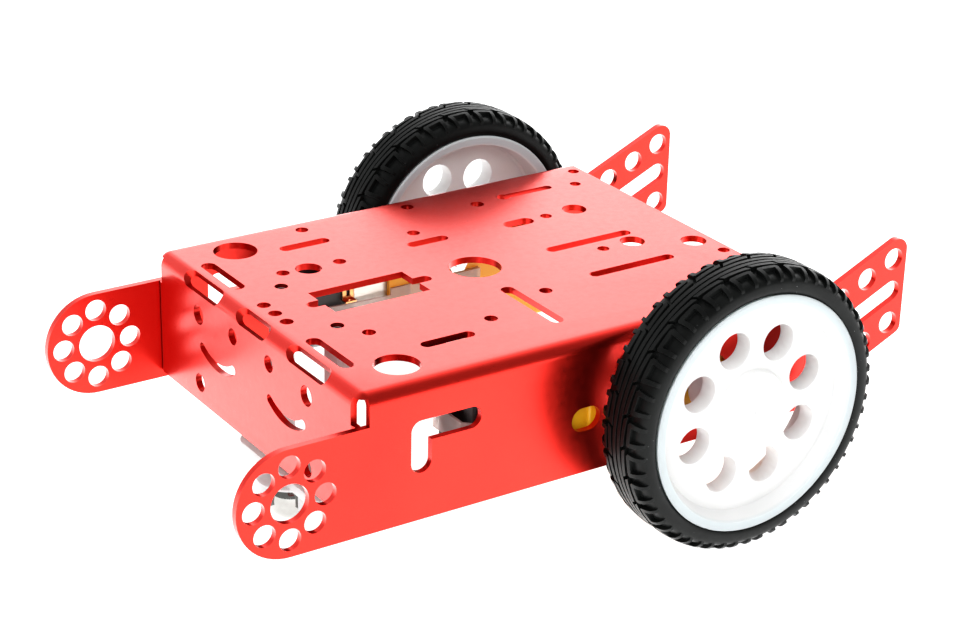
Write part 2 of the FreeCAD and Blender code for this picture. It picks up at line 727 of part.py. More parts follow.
ball = doc.addObject("Part::Sphere", "caster_ball")
ball.setExpression("Radius", ball_r.expr)
place(ball, x=ball_x, y=0.0, z=ball_r)
parts["caster_ball"] = ball

# hexagonal standoff between the caster's plate and the deck, bored from both ends
standoff = new_body("standoff_left")
standoff_top = deck_top - sheet_t
sketch = Sketch(standoff, "standoff_left_hex", "XY_Plane", at=caster_top)
pad(standoff, sketch.poly(hexagon(standoff_flats / math.sqrt(3))), standoff_top - caster_top)
sketch = Sketch(standoff, "standoff_left_top_bore", "XY_Plane", at=standoff_top)
pocket(standoff, sketch.circle(0.0, 0.0, bolt_r), 6.5)
sketch = Sketch(standoff, "standoff_left_bore", "XY_Plane", at=caster_top)
pocket(standoff, sketch.circle(0.0, 0.0, bolt_r), 8.0, reverse=True)
keep_caster_pair("caster_standoffs", standoff, "standoff_right")

# set screw from the deck into the top of the standoff
set_screw = new_body("caster_set_screw_left")
screw_top = deck_top - 0.7
screw_low = standoff_top - 5.0
sketch = Sketch(set_screw, "ss_profile", "XZ_Plane").poly([
    (0.0, screw_low), (1.1, screw_low), (1.45, screw_low + 0.35),
    (1.45, screw_top - 0.2), (1.25, screw_top), (0.0, screw_top)])
revolve(set_screw, sketch, "Z_Axis")
sketch = Sketch(set_screw, "ss_socket", "XY_Plane", at=screw_top).poly(hexagon(0.85))
pocket(set_screw, sketch, 1.6)
keep_caster_pair("caster_set_screws", set_screw, "caster_set_screw_right")

# screw up through the caster's plate into the standoff
bolt_recess = dict(half_length=1.6, half_width=0.35, depth=0.9)
caster_screw = new_body("caster_screw_left")
head_low = caster_low - 2.0
sketch = Sketch(caster_screw, "cs_profile", "XZ_Plane").poly([
    (0.0, head_low), (1.9, head_low), (bolt_head_r, caster_low - 1.3),
    (bolt_head_r, caster_low), (bolt_r, caster_low),
    (bolt_r, caster_low + 8.0), (0.0, caster_low + 8.0)])
revolve(caster_screw, sketch, "Z_Axis")
cross_recess(caster_screw, "cs_recess", "XY_Plane", at=head_low, reverse=True, **bolt_recess)
keep_caster_pair("caster_screws", caster_screw, "caster_screw_right")


# ---------------------------------------------------------------- wheel
# Turned around the Y axis, then moved to the axle.
tyre = new_body("left_tyre")
sketch = Sketch(tyre, "ty_profile", "XY_Plane").poly([
    (tyre_seat_r, tyre_in + 1.2), (bead_r, tyre_in + 0.25), (shoulder_r, tyre_in + 0.25),
    (tyre_r - 0.3, tyre_in + 1.4), (tyre_r, tyre_in + 3.6), (tyre_r, tyre_out - 3.6),
    (tyre_r - 0.3, tyre_out - 1.4), (shoulder_r, tyre_out - 0.25), (bead_r, tyre_out - 0.25),
    (tyre_seat_r, tyre_out - 1.2)])
revolve(tyre, sketch, "Y_Axis")
place(tyre, x=axle_x, z=axle_z)
keep_pair("tyre", tyre)

rim = new_body("left_wheel_rim")
sketch = Sketch(rim, "rim_profile", "XY_Plane").poly([
    (0.0, disc_in), (hub_r, disc_in), (hub_r, disc_in - 0.01), (dish_r, disc_in),
    (dish_r + 0.6, disc_in - 0.6), (dish_r + 1.2, tyre_in + 0.4), (bead_r - 0.5, tyre_in),
    (bead_r, tyre_in + 0.25), (tyre_seat_r, tyre_in + 1.2), (tyre_seat_r, tyre_out - 1.2),
    (bead_r, tyre_out - 0.25), (bead_r - 0.4, tyre_out), (bead_r - 2.1, tyre_out - 0.15),
    (dish_r, disc_out), (boss_r + 0.4, disc_out), (boss_r, boss_y), (0.0, boss_y)])
revolve(rim, sketch, "Y_Axis")
# the hub reaches from the disc towards the chassis
sketch = Sketch(rim, "rim_hub", "XZ_Plane", at=disc_in + 0.5).circle(0.0, 0.0, hub_r)
pad(rim, sketch, disc_in + 0.5 - hub_in)
ring_angle = math.radians(wheel_ring_angle.value)
sketch = Sketch(rim, "rim_hole", "XZ_Plane", at=tyre_out + 1)
sketch.circle(wheel_ring_r * math.cos(ring_angle), wheel_ring_r * math.sin(ring_angle),
              wheel_hole_r)
rim_hole = pocket(rim, sketch, tyre_out + 1 - disc_in + 2, reverse=True)
polar(rim, rim_hole, "Y_Axis", 8)
# blind socket for the shaft's flats, and a small gate mark on the boss
socket_r = shaft_r + 0.02
socket_flat = shaft_flat + 0.02
socket_x = math.sqrt(socket_r.value ** 2 - socket_flat.value ** 2)
sketch = Sketch(rim, "rim_socket", "XZ_Plane", at=hub_in - 1)
sketch.poly([(-socket_x, -socket_flat), (socket_x, -socket_flat, socket_r),
             (socket_x, socket_flat), (-socket_x, socket_flat, socket_r)])
pocket(rim, sketch, 9.0)
sketch = Sketch(rim, "rim_mark", "XZ_Plane", at=boss_y + 1).slot(-0.6, -0.6, 0.6, 0.6, 0.5)
pocket(rim, sketch, 1.35, reverse=True)
place(rim, x=axle_x, z=axle_z)
keep_pair("wheel_rim", rim)


# ---------------------------------------------------------------- gears
def gear_face(teeth, module, addendum, dedendum, thickness, phase, x, y, z):
    """A spur gear's outline in an XZ plane: involute flanks at 20 degrees, for the given tooth
    thickness on the pitch circle."""
    pitch_r = teeth * module / 2.0
    base_r = pitch_r * math.cos(math.radians(20))
    tip_r = pitch_r + addendum
    root_r = pitch_r - dedendum
    half = thickness / (2.0 * pitch_r)
    base_angle = math.tan(math.acos(base_r / pitch_r)) - math.acos(base_r / pitch_r)
    flank_r = max(base_r, root_r)
    flank = []  # radius, half angle of the tooth there
    for i in range(5):
        r = flank_r + (tip_r - flank_r) * i / 4.0
        angle = math.acos(min(1.0, base_r / r))
        flank.append((r, half + base_angle - (math.tan(angle) - angle)))
    points = []
    for i in range(teeth):
        middle = phase + 2 * math.pi * i / teeth
        tooth = [(r, middle - w) for r, w in flank] + [(r, middle + w) for r, w in reversed(flank)]
        if root_r < base_r - 1e-6:
            root_w = flank[0][1] * 0.95
            tooth = [(root_r, middle - root_w)] + tooth + [(root_r, middle + root_w)]
        points += tooth
    corners = [Vector(x + r * math.cos(t), y, z + r * math.sin(t)) for r, t in points]
    return Part.Face(Part.makePolygon(corners + [corners[0]]))


# The gears are plain shapes. They lie along Y at axle height, and y0 and y1 below are measured
# from the motor's middle plane.
mid_y = motor_y.value
gear_z = axle_z.value
crown_r = 32 * crown_module / 2


def spur(teeth, x, y0, y1, phase=0.0):
    module = gear_module.value
    face = gear_face(teeth, module, addendum=0.755 * module, dedendum=1.11 * module,
                     thickness=0.43 * math.pi * module, phase=phase,
                     x=x.value, y=mid_y + y0, z=gear_z)
    return face.extrude(Vector(0, y1 - y0, 0))


def drum(radius, x, y0, y1):
    start = Vector(x.value, mid_y + y0, gear_z)
    return Part.makeCylinder(radius, y1 - y0, start, Vector(0, 1, 0))


def add_shape(label, shape):
    feature = doc.addObject("Part::Feature", label)
    feature.Label = label
    feature.Shape = shape.removeSplitter()
    feature.Placement = FreeCAD.Placement()
    return feature


pin_clear_r = pin_r.value + run_gap.value

# output shaft with its 36-tooth gear; the free end has two flats for the wheel
shaft = spur(36, axle_x, -2.6, 0.8)
shaft = shaft.fuse(drum(shaft_r.value, axle_x, -box_half.value + 0.2, half_w.value + 8.0 - mid_y))
shaft = shaft.fuse(drum(3.9, axle_x, 0.8, 6.9))
shaft = shaft.fuse(drum(3.9, axle_x, -3.2, -2.6))
for low_z in (shaft_flat.value, -shaft_flat.value - 4):
    corner = Vector(axle_x.value - 4, half_w.value - 0.9, gear_z + low_z)
    shaft = shaft.cut(Part.makeBox(8, 20, 4, corner))
keep_pair("output_shaft", add_shape("left_output_shaft", shaft))

# idler: 30-tooth wheel and 9-tooth pinion on one bore
idler = spur(30, idler_x, -6.2, -4.0)
idler = idler.fuse(spur(9, idler_x, -4.0, 1.4, phase=math.pi + math.pi / 9))
idler = idler.fuse(drum(1.5, idler_x, 1.4, 6.9)).fuse(drum(1.6, idler_x, -7.2, -6.2))
idler = idler.cut(drum(pin_clear_r, idler_x, -9, 9))
keep_pair("idler_gear", add_shape("left_idler_gear", idler))

# crown: 32 face teeth driven by the motor, and a 10-tooth pinion on its inner side
crown_face = -1.4 - 0.38
crown = drum(crown_r.value + 0.5, crown_x, -3.2, crown_face)
for i in range(32):
    rib = Part.makeBox(1.1, 0.38 + 0.26, 0.36,
                       Vector(crown_r.value - 0.6, mid_y + crown_face, -0.18))
    rib.rotate(Vector(0, 0, 0), Vector(0, 1, 0), 360.0 * i / 32)
    rib.translate(Vector(crown_x.value, 0, gear_z))
    crown = crown.fuse(rib)
crown = crown.fuse(spur(10, crown_x, -7.1, -3.2, phase=math.pi + math.pi / 10))
crown = crown.fuse(drum(1.5, crown_x, -2.0, 6.9))
crown = crown.cut(drum(pin_clear_r, crown_x, -9, 9))
keep_pair("crown_gear", add_shape("left_crown_gear", crown))

# motor pinion: 8 teeth over the crown's teeth, with a collar in front
pinion_length = 0.96
pinion_bore_r = 0.7
pinion_rear = crown_x + crown_r - pinion_length / 2
pinion = gear_face(8, crown_module.value, addendum=0.26, dedendum=0.35,
                   thickness=0.40 * math.pi * crown_module.value, phase=math.radians(22.5),
                   x=0.0, y=0.0, z=0.0).extrude(Vector(0, pinion_length, 0))
pinion.rotate(Vector(0, 0, 0), Vector(0, 0, 1), -90)  # gear axis from +Y to +X
pinion = pinion.fuse(Part.makeCylinder(1.0, 1.6, Vector(pinion_length, 0, 0), Vector(1, 0, 0)))
pinion = pinion.cut(Part.makeCylinder(pinion_bore_r, 6, Vector(-1, 0, 0), Vector(1, 0, 0)))
pinion.translate(Vector(pinion_rear.value, mid_y, gear_z))
keep_pair("motor_pinion", add_shape("left_motor_pinion", pinion))


# ---------------------------------------------------------------- gearbox halves
def half_round(radius, flat, side):
    """Half of a circle cut by a flat, on the outer (+1) or inner (-1) side of the motor."""
    flat_z = math.sqrt(radius.value ** 2 - flat.value ** 2)
    flat_y = motor_y + side * flat
    return [(motor_y, axle_z - side * radius, radius), (flat_y, axle_z - side * flat_z),
            (flat_y, axle_z + side * flat_z, radius), (motor_y, axle_z + side * radius)]


def rear_corner(edge):
    """Edges along Y at the top and bottom of the gearbox's rear end."""
    z_first = edge.Vertexes[0].Point.z
    z_last = edge.Vertexes[-1].Point.z
    return (on_plane(edge, "x", box_rear) and near(z_first, z_last)
            and near(abs(z_first - axle_z.value), box_half_z.value))


def case_half(label, side):
    """Case on the outer (+1) or inner (-1) side of the motor's middle plane."""
    case = new_body(label)
    outer = side > 0
    cut_start = motor_y - side

    sketch = Sketch(case, label + "_box", "XZ_Plane", at=motor_y)
    sketch.rect(box_rear, axle_z - box_half_z, box_front, axle_z + box_half_z)
    pad(case, sketch, box_half, reverse=outer)
    fillet(case, box_corner_r, rear_corner)
    fillet(case, box_edge_r, lambda edge: on_plane(edge, "y", motor_y + side * box_half))
    sketch = Sketch(case, label + "_sleeve", "YZ_Plane", at=box_front - 1.2)
    sketch.poly(half_round(sleeve_r, sleeve_flat, side))
    pad(case, sketch, sleeve_x - box_front + 1.2)

    # inside: gear room, then the seat for the motor can and its rear boss
    sketch = Sketch(case, label + "_room", "XZ_Plane", at=motor_y)
    sketch.rect(box_rear + box_wall, axle_z - box_half_z + box_wall,
                box_front - 1.2, axle_z + box_half_z - box_wall)
    pocket(case, sketch, box_half - box_wall, reverse=not outer)
    sketch = Sketch(case, label + "_seat", "YZ_Plane", at=sleeve_x + 1)
    sketch.poly(half_round(can_r + 0.05, can_flat + 0.05, side))
    pocket(case, sketch, sleeve_x + 1 - box_front)
    sketch = Sketch(case, label + "_nose", "YZ_Plane", at=box_front + 1)
    sketch.poly([(motor_y, axle_z - side * box_nose_r, box_nose_r),
                 (motor_y, axle_z + side * box_nose_r)])
    pocket(case, sketch, 4.0)

    # bolt tubes, screw posts, and bosses for the shaft and, outside, the two gear pins
    bolt_x = axle_x + bolt_dx
    screw_x = axle_x - case_screw_dx
    sketch = Sketch(case, label + "_tubes", "XZ_Plane", at=motor_y)
    for level in (1, -1):
        sketch.circle(bolt_x, axle_z + level * bolt_dz, 2.25)
        sketch.circle(screw_x, axle_z + level * case_screw_dz, 1.85)
    pad(case, sketch, box_half - box_wall + 0.1, reverse=outer)
    boss_offset = box_half - box_wall - 1.0
    sketch = Sketch(case, label + "_bosses", "XZ_Plane", at=motor_y + side * boss_offset)
    sketch.circle(axle_x, axle_z, 4.2)
    if outer:
        sketch.circle(idler_x, axle_z, 1.9)
        sketch.circle(crown_x, axle_z, 1.9)
    pad(case, sketch, 1.2, reverse=outer)

    # holes right through for the bolts and shaft, blind ones for the pins
    sketch = Sketch(case, label + "_through", "XZ_Plane", at=cut_start)
    for level in (1, -1):
        sketch.circle(bolt_x, axle_z + level * bolt_dz, bolt_clear_r)
    sketch.circle(axle_x, axle_z, shaft_r + run_gap)
    pocket(case, sketch, box_half + 3, reverse=not outer)
    sketch = Sketch(case, label + "_pins", "XZ_Plane", at=cut_start)
    sketch.circle(idler_x, axle_z, pin_r)
    sketch.circle(crown_x, axle_z, pin_r)
    pocket(case, sketch, box_half - 0.7 + 1, reverse=not outer)
    # the screws pass through the inner case and stop inside the outer one
    sketch = Sketch(case, label + "_screw_holes", "XZ_Plane", at=cut_start)
    for level in (1, -1):
        sketch.circle(screw_x, axle_z + level * case_screw_dz, 1.0)
    pocket(case, sketch, 8.0 if outer else box_half + 3, reverse=not outer)
    return case


outer_case = case_half("left_gearbox_outer_case", 1)
# mounting tab at the shaft end, and a shallow seat for the strap's outer leg
tab_r = 2.6
tab_x = box_rear - 2.4
sketch = Sketch(outer_case, "outer_tab", "XZ_Plane", at=motor_y)
sketch.poly([(box_rear + 0.5, axle_z - tab_r), (box_rear + 0.5, axle_z + tab_r),
             (tab_x, axle_z + tab_r, tab_r), (tab_x, axle_z - tab_r)])
pad(outer_case, sketch, 2.4, reverse=True)
sketch = Sketch(outer_case, "outer_tab_hole", "XZ_Plane", at=motor_y - 1)
pocket(outer_case, sketch.circle(tab_x, axle_z, 1.5), 5.0)
sketch = Sketch(outer_case, "outer_strap_groove", "XZ_Plane", at=motor_y + sleeve_flat + 1)
pocket(outer_case, sketch.rect(5.9, axle_z - 3.1, 7.1, axle_z + 3.1), 1.6, reverse=True)
keep_pair("gearbox_outer_case", outer_case)

# peg for the strap's window, standing on the inner face
inner_case = case_half("left_gearbox_inner_case", -1)
sketch = Sketch(inner_case, "inner_peg", "XZ_Plane", at=box_inner_y)
pad(inner_case, sketch.rect(-12.3, axle_z - 2.2, -10.1, axle_z + 2.2), 1.6)
keep_pair("gearbox_inner_case", inner_case)


# ---------------------------------------------------------------- motor
def flat_round(body, name, at, radius, flat):
    """A sketch of a circle round the motor's axis, with a flat on each side."""
    flat_z = math.sqrt(radius.value ** 2 - flat.value ** 2)
    return Sketch(body, name, "YZ_Plane", at=at).poly([
        (motor_y - flat, axle_z - flat_z, radius), (motor_y + flat, axle_z - flat_z),
        (motor_y + flat, axle_z + flat_z, radius), (motor_y - flat, axle_z + flat_z)])


def motor_circle(body, name, at, radius):
    return Sketch(body, name, "YZ_Plane", at=at).circle(motor_y, axle_z, radius)


motor_boss_r = 3.0
motor_bore_r = 1.05

can = new_body("left_motor_can")
pad(can, flat_round(can, "can_outer", box_front + 0.05, can_r, can_flat),
    can_x - box_front - 0.05)
pocket(can, flat_round(can, "can_inner", can_x + 1, can_r - can_wall, can_flat - can_wall),
       can_x + 1 - box_front - 0.75)
pad(can, motor_circle(can, "can_nose", box_front - 1.5, motor_boss_r), 1.8)
pocket(can, motor_circle(can, "can_bore", box_front + 4, motor_bore_r), 8.0)
keep_pair("motor_can", can)

cap = new_body("left_motor_endcap")
pad(cap, flat_round(cap, "cap_outer", can_x, cap_r, cap_flat), cap_x - can_x)
pocket(cap, motor_circle(cap, "cap_room", can_x - 1, 6.0), cap_x - can_x + 1 - 1.4, reverse=True)
fillet(cap, cap_edge_r, lambda edge: on_plane(edge, "x", cap_x))
pad(cap, motor_circle(cap, "cap_boss", cap_x - 0.5, motor_boss_r), 2.1)
pocket(cap, motor_circle(cap, "cap_bore", can_x - 1, motor_bore_r),
       cap_x - can_x + 1 + 0.8, reverse=True)
keep_pair("motor_endcap", cap)

# rotor: shaft, three-pole core and commutator, turned around X and then moved to the motor
rotor = new_body("left_motor_rotor")
sketch = Sketch(rotor, "rotor_profile", "XY_Plane").poly([
    (pinion_rear - 0.3, 0.0), (pinion_rear - 0.3, pinion_bore_r),
    (pinion_rear + 3.2, pinion_bore_r), (pinion_rear + 3.2, 1.0),
    (3.4, 1.0), (3.4, 2.3), (4.2, 2.3), (4.2, rotor_r), (13.0, rotor_r), (13.0, 2.3),
    (17.6, 2.3), (17.6, 1.9), (22.2, 1.9), (22.2, 1.0), (cap_x + 0.6, 1.0), (cap_x + 0.6, 0.0)])
revolve(rotor, sketch, "X_Axis")
sketch = Sketch(rotor, "rotor_slot", "YZ_Plane", at=14.0).rect(-0.9, 3.6, 0.9, 8.0)
rotor_slot = pocket(rotor, sketch, 11.0)
polar(rotor, rotor_slot, "X_Axis", 3)
place(rotor, y=motor_y, z=axle_z)
keep_pair("motor_rotor", rotor)

magnet = new_body("magnet_upper")
magnet_out = 9.25
magnet_in = 6.75
magnet_sin = math.sin(math.radians(44))  # half of the magnet's arc
magnet_cos = math.cos(math.radians(44))
sketch = Sketch(magnet, "magnet_profile", "YZ_Plane", at=3.6).poly([
    (motor_y + magnet_out * magnet_sin, axle_z + magnet_out * magnet_cos, magnet_out),
    (motor_y - magnet_out * magnet_sin, axle_z + magnet_out * magnet_cos),
    (motor_y - magnet_in * magnet_sin, axle_z + magnet_in * magnet_cos, -magnet_in),
    (motor_y + magnet_in * magnet_sin, axle_z + magnet_in * magnet_cos)])
pad(magnet, sketch, 10.0)
keep_axle_pairs("motor_magnets", magnet, "magnet_lower")

# bent terminal on the end cap's inner flat, with a notch and a small hole
terminal = new_body("terminal_upper")
tab_y = motor_y - cap_flat
sketch = Sketch(terminal, "terminal_section", "YZ_Plane", at=can_x + 0.1).poly([
    (tab_y, axle_z + 3.1), (tab_y, axle_z + 6.2), (tab_y - 0.5, axle_z + 6.2),
    (tab_y - 0.5, axle_z + 3.5), (tab_y - 2.0, axle_z + 3.5), (tab_y - 2.0, axle_z + 3.1)])
pad(terminal, sketch, 2.9)
sketch = Sketch(terminal, "terminal_slot", "XZ_Plane", at=tab_y + 1)
pocket(terminal, sketch.rect(can_x + 1.1, axle_z + 4.2, can_x + 2.0, axle_z + 7.0), 2.5,
       reverse=True)
sketch = Sketch(terminal, "terminal_hole", "XY_Plane", at=axle_z + 5)
pocket(terminal, sketch.circle(can_x + 1.55, tab_y - 1.3, 0.4), 2.0)
keep_axle_pairs("motor_terminals", terminal, "terminal_lower")

# strap: along the inner side, round the end cap's boss and back along the outer side to its seat
strap = new_body("left_motor_strap")
leg_in = motor_y - sleeve_flat
leg_out = motor_y + sleeve_flat
loop_x = cap_x + 1.6
foot_x = -6.5
foot_t = 1.2
sketch = Sketch(strap, "strap_path", "XY_Plane", at=axle_z - strap_half_w).poly([
    # outside of the loop, from the foot on the inner side
    (foot_x, box_inner_y - foot_t), (1.2, box_inner_y - foot_t), (2.6, leg_in - strap_t),
    (10.0, leg_in - strap_t), (loop_x + strap_t - 2.4, leg_in - strap_t + 1.3),
    (loop_x + strap_t, leg_in + 3.4), (loop_x + strap_t, leg_out - 3.4),
    (loop_x + strap_t - 2.4, leg_out + strap_t - 1.3), (10.0, leg_out + strap_t),
    (5.7, leg_out + strap_t),
    # nib that drops into the outer case's seat
    (5.7, leg_out), (6.0, leg_out), (6.0, leg_out - 0.5), (7.0, leg_out - 0.5), (7.0, leg_out),
    # inside of the loop, back to the foot
    (9.9, leg_out), (loop_x - 2.2, leg_out - 1.3), (loop_x, leg_out - 3.6),
    (loop_x, leg_in + 3.6), (loop_x - 2.2, leg_in + 1.3), (9.9, leg_in), (2.8, leg_in),
    (1.4, box_inner_y), (foot_x, box_inner_y)])
pad(strap, sketch, 2 * strap_half_w)
sketch = Sketch(strap, "strap_wide", "XY_Plane", at=axle_z - strap_wide_half).poly([
    (foot_x, box_inner_y - foot_t), (1.2, box_inner_y - foot_t), (2.6, leg_in - strap_t),
    (8.2, leg_in - strap_t), (8.2, leg_in), (2.8, leg_in), (1.4, box_inner_y),
    (foot_x, box_inner_y)])
pad(strap, sketch, 2 * strap_wide_half)
# hook plate at the rear, with a window for the inner case's peg
sketch = Sketch(strap, "strap_hook", "XZ_Plane", at=box_inner_y)
pad(strap, sketch.rect(-15.6, axle_z - hook_half_z, -6.0, axle_z + hook_half_z), foot_t)
sketch = Sketch(strap, "strap_window", "XZ_Plane", at=box_inner_y + 1)
pocket(strap, sketch.rect(-12.4, axle_z - 2.6, -9.4, axle_z + 2.6), 4.0, reverse=True)
keep_pair("motor_strap", strap)


# ---------------------------------------------------------------- pins and fasteners
pins = []
for name, pin_x in (("idler_pin", idler_x), ("crown_pin", crown_x)):
    pin = new_body(name)
    sketch = Sketch(pin, name + "_c", "XZ_Plane", at=motor_y + box_half - 0.8)
    pad(pin, sketch.circle(pin_x, axle_z, pin_r), 2 * box_half - 1.6)
    pins.append(pin)
keep_pair("gear_pins", compound("left_gear_pins", pins))

# screw holding the gearbox halves together, its head on the inner face
case_screw = new_body("gearbox_screw_upper")
head_y = box_inner_y - 1.2
sketch = Sketch(case_screw, "gs_profile", "XY_Plane").poly([
    (0.0, head_y), (1.2, head_y), (1.8, box_inner_y - 0.7), (1.8, box_inner_y),
    (1.0, box_inner_y), (1.0, motor_y + 6.0), (0.0, motor_y + 7.0)])
revolve(case_screw, sketch, "Y_Axis")
cross_recess(case_screw, "gs_recess", "XZ_Plane", at=head_y,
             half_length=1.1, half_width=0.25, depth=0.6, reverse=False)
place(case_screw, x=axle_x - case_screw_dx, z=axle_z + case_screw_dz)
keep_axle_pairs("gearbox_screws", case_screw, "gearbox_screw_lower")

# bolt from the side plate's outer face, through the gearbox and its nut
mount_bolt = new_body("mount_bolt_upper")
bolt_end = box_inner_y - nut_t - 1.5
head_y = half_w + 2.0
sketch = Sketch(mount_bolt, "mb_profile", "XY_Plane").poly([
    (0.0, bolt_end), (1.2, bolt_end), (bolt_r, box_inner_y - nut_t - 1.2), (bolt_r, half_w),
    (bolt_head_r, half_w), (bolt_head_r, half_w + 1.3), (1.9, head_y), (0.0, head_y)])
revolve(mount_bolt, sketch, "Y_Axis")
cross_recess(mount_bolt, "mb_recess", "XZ_Plane", at=head_y, reverse=True, **bolt_recess)
place(mount_bolt, x=axle_x + bolt_dx, z=axle_z + bolt_dz)
keep_axle_pairs("mount_bolts", mount_bolt, "mount_bolt_lower")

mount_nut = new_body("mount_nut_upper")
sketch = Sketch(mount_nut, "nut_hex", "XZ_Plane", at=box_inner_y)
pad(mount_nut, sketch.poly(hexagon(nut_flats / math.sqrt(3))), nut_t)
sketch = Sketch(mount_nut, "nut_bore", "XZ_Plane", at=box_inner_y + 1)
pocket(mount_nut, sketch.circle(0.0, 0.0, bolt_r), 8.0, reverse=True)
place(mount_nut, x=axle_x + bolt_dx, z=axle_z + bolt_dz)
keep_axle_pairs("mount_nuts", mount_nut, "mount_nut_lower")


# ---------------------------------------------------------------- check and write
doc.recompute()
bad = [o.Name for o in doc.Objects if "Invalid" in o.State or "Error" in o.State]
if bad:
    raise RuntimeError("failed objects: %s" % bad)
os.makedirs("parts", exist_ok=True)
for label, obj in parts.items():
    shape = obj.Shape
    if shape.isNull() or not shape.isValid() or not shape.Solids:
        raise RuntimeError("bad shape: %s" % label)
    shape.exportStep(os.path.join("parts", label + ".step"))
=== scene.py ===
import json
import math

import bmesh
import bpy
from mathutils import Matrix, Vector


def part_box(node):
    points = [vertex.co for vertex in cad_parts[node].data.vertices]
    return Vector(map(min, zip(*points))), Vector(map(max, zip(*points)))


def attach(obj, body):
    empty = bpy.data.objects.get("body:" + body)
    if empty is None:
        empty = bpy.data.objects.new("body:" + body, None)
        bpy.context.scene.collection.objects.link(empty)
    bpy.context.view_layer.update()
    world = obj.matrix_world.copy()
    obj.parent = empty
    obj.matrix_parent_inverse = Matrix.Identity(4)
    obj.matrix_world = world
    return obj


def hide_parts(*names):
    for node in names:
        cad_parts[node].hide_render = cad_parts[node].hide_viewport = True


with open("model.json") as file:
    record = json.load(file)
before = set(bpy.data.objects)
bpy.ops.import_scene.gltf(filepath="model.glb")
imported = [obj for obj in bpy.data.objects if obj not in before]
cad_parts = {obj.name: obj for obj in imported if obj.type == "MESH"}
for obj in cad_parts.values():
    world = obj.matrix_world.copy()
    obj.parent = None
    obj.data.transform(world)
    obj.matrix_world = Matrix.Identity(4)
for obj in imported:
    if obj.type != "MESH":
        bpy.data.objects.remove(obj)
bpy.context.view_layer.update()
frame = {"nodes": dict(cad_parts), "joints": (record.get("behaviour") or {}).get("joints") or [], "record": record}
scene = bpy.context.scene

MM = 0.001
WHITE = (1.0, 1.0, 1.0)
joints = {joint["name"]: joint for joint in frame["joints"]}
AXLE_X, _, AXLE_Z = [v * 1000.0 for v in joints["left_wheel_spin"]["pos_m"]]


# ---------------------------------------------------------------- node helpers
class Nodes:
    """Adds nodes to a tree. An input may be given as a number, a colour or a socket."""

    def __init__(self, tree):
        self.tree = tree

    def new(self, kind):
        return self.tree.nodes.new("ShaderNode" + kind)

    def put(self, socket, value):
        if isinstance(value, bpy.types.NodeSocket):
            self.tree.links.new(value, socket)
            return
        if isinstance(value, tuple) and len(socket.default_value) == 4:
            value = (*value, 1.0)
        socket.default_value = value

    def fill(self, node, **values):
        """Sets inputs by name, with underscores for the spaces."""
        for name, value in values.items():
            self.put(node.inputs[name.replace("_", " ")], value)

    def maths(self, operation, a, b=0.0, c=None, clamp=False):
        node = self.new("Math")
        node.operation = operation
        node.use_clamp = clamp
        self.put(node.inputs[0], a)
        self.put(node.inputs[1], b)
        if c is not None:
            self.put(node.inputs[2], c)
        return node.outputs[0]

    def times(self, a, by):
        return self.maths("MULTIPLY", a, by)

    def dot(self, a, b):
        node = self.new("VectorMath")
        node.operation = "DOT_PRODUCT"
        self.put(node.inputs[0], a)
        self.put(node.inputs[1], b)
        return node.outputs["Value"]

    def span(self, value, within=(0.3, 0.7), to=(0.0, 1.0), shape="LINEAR"):
        """Maps one range onto another, clamped at both ends."""
        node = self.new("MapRange")
        node.interpolation_type = shape
        self.put(node.inputs["Value"], value)
        for name, number in zip(("From Min", "From Max", "To Min", "To Max"), within + to):
            node.inputs[name].default_value = number
        return node.outputs["Result"]


class Material(Nodes):
    """A material with a Principled surface, textured in object coordinates in millimetres."""

    def __init__(self, name):
        self.material = bpy.data.materials.new(name)
        self.material.use_nodes = True
        super().__init__(self.material.node_tree)
        self.tree.nodes.clear()
        self.output = self.new("OutputMaterial")
        self.principled = self.new("BsdfPrincipled")
        self.put(self.output.inputs[0], self.principled.outputs[0])
        metres = self.new("TexCoord").outputs["Object"]
        self.coords = self.scaled(metres, (1000.0, 1000.0, 1000.0))

    def surface(self, **values):
        self.fill(self.principled, **values)

    def scaled(self, coords, scale):
        node = self.new("Mapping")
        self.fill(node, Vector=coords, Scale=scale)
        return node.outputs[0]

    def noise(self, size, detail=2.0, rough=0.5, coords=None, distort=0.0):
        """Noise with features about size across."""
        node = self.new("TexNoise")
        self.fill(node, Vector=coords or self.coords, Scale=1.0 / size, Detail=detail,
                  Roughness=rough, Distortion=distort)
        return node.outputs["Fac"]

    def cells(self, size):
        """Distance to the nearest point of a scatter with a spacing of about size."""
        node = self.new("TexVoronoi")
        self.fill(node, Vector=self.coords, Scale=1.0 / size)
        return node.outputs["Distance"]

    def mix(self, factor, a, b):
        node = self.new("Mix")
        node.data_type = "RGBA"
        self.put(node.inputs["Factor"], factor)
        self.put(node.inputs[6], a)
        self.put(node.inputs[7], b)
        return node.outputs[2]

    def bump(self, height, depth, strength, over=None):
        """A normal from a height; over is the normal that it adds to."""
        node = self.new("Bump")
        self.fill(node, Strength=strength, Distance=depth * MM, Height=height)
        if over is not None:
            self.fill(node, Normal=over)
        return node.outputs["Normal"]

    def edge(self, radius, gain=4.0):
        """1 along outside and inside corners, 0 on flats, from a rounded normal."""
        rounded = self.new("Bevel")
        rounded.samples = 4
        rounded.inputs["Radius"].default_value = radius * MM
        flat = self.new("NewGeometry").outputs["Normal"]
        bend = self.maths("SUBTRACT", 1.0, self.dot(rounded.outputs[0], flat))
        return self.maths("MULTIPLY", bend, gain, clamp=True)

    def axle_distance(self):
        separate = self.new("SeparateXYZ")
        self.put(separate.inputs[0], self.coords)
        dx = self.maths("SUBTRACT", separate.outputs[0], AXLE_X)
        dz = self.maths("SUBTRACT", separate.outputs[2], AXLE_Z)
        return self.maths("SQRT", self.maths("ADD", self.times(dx, dx), self.times(dz, dz)))


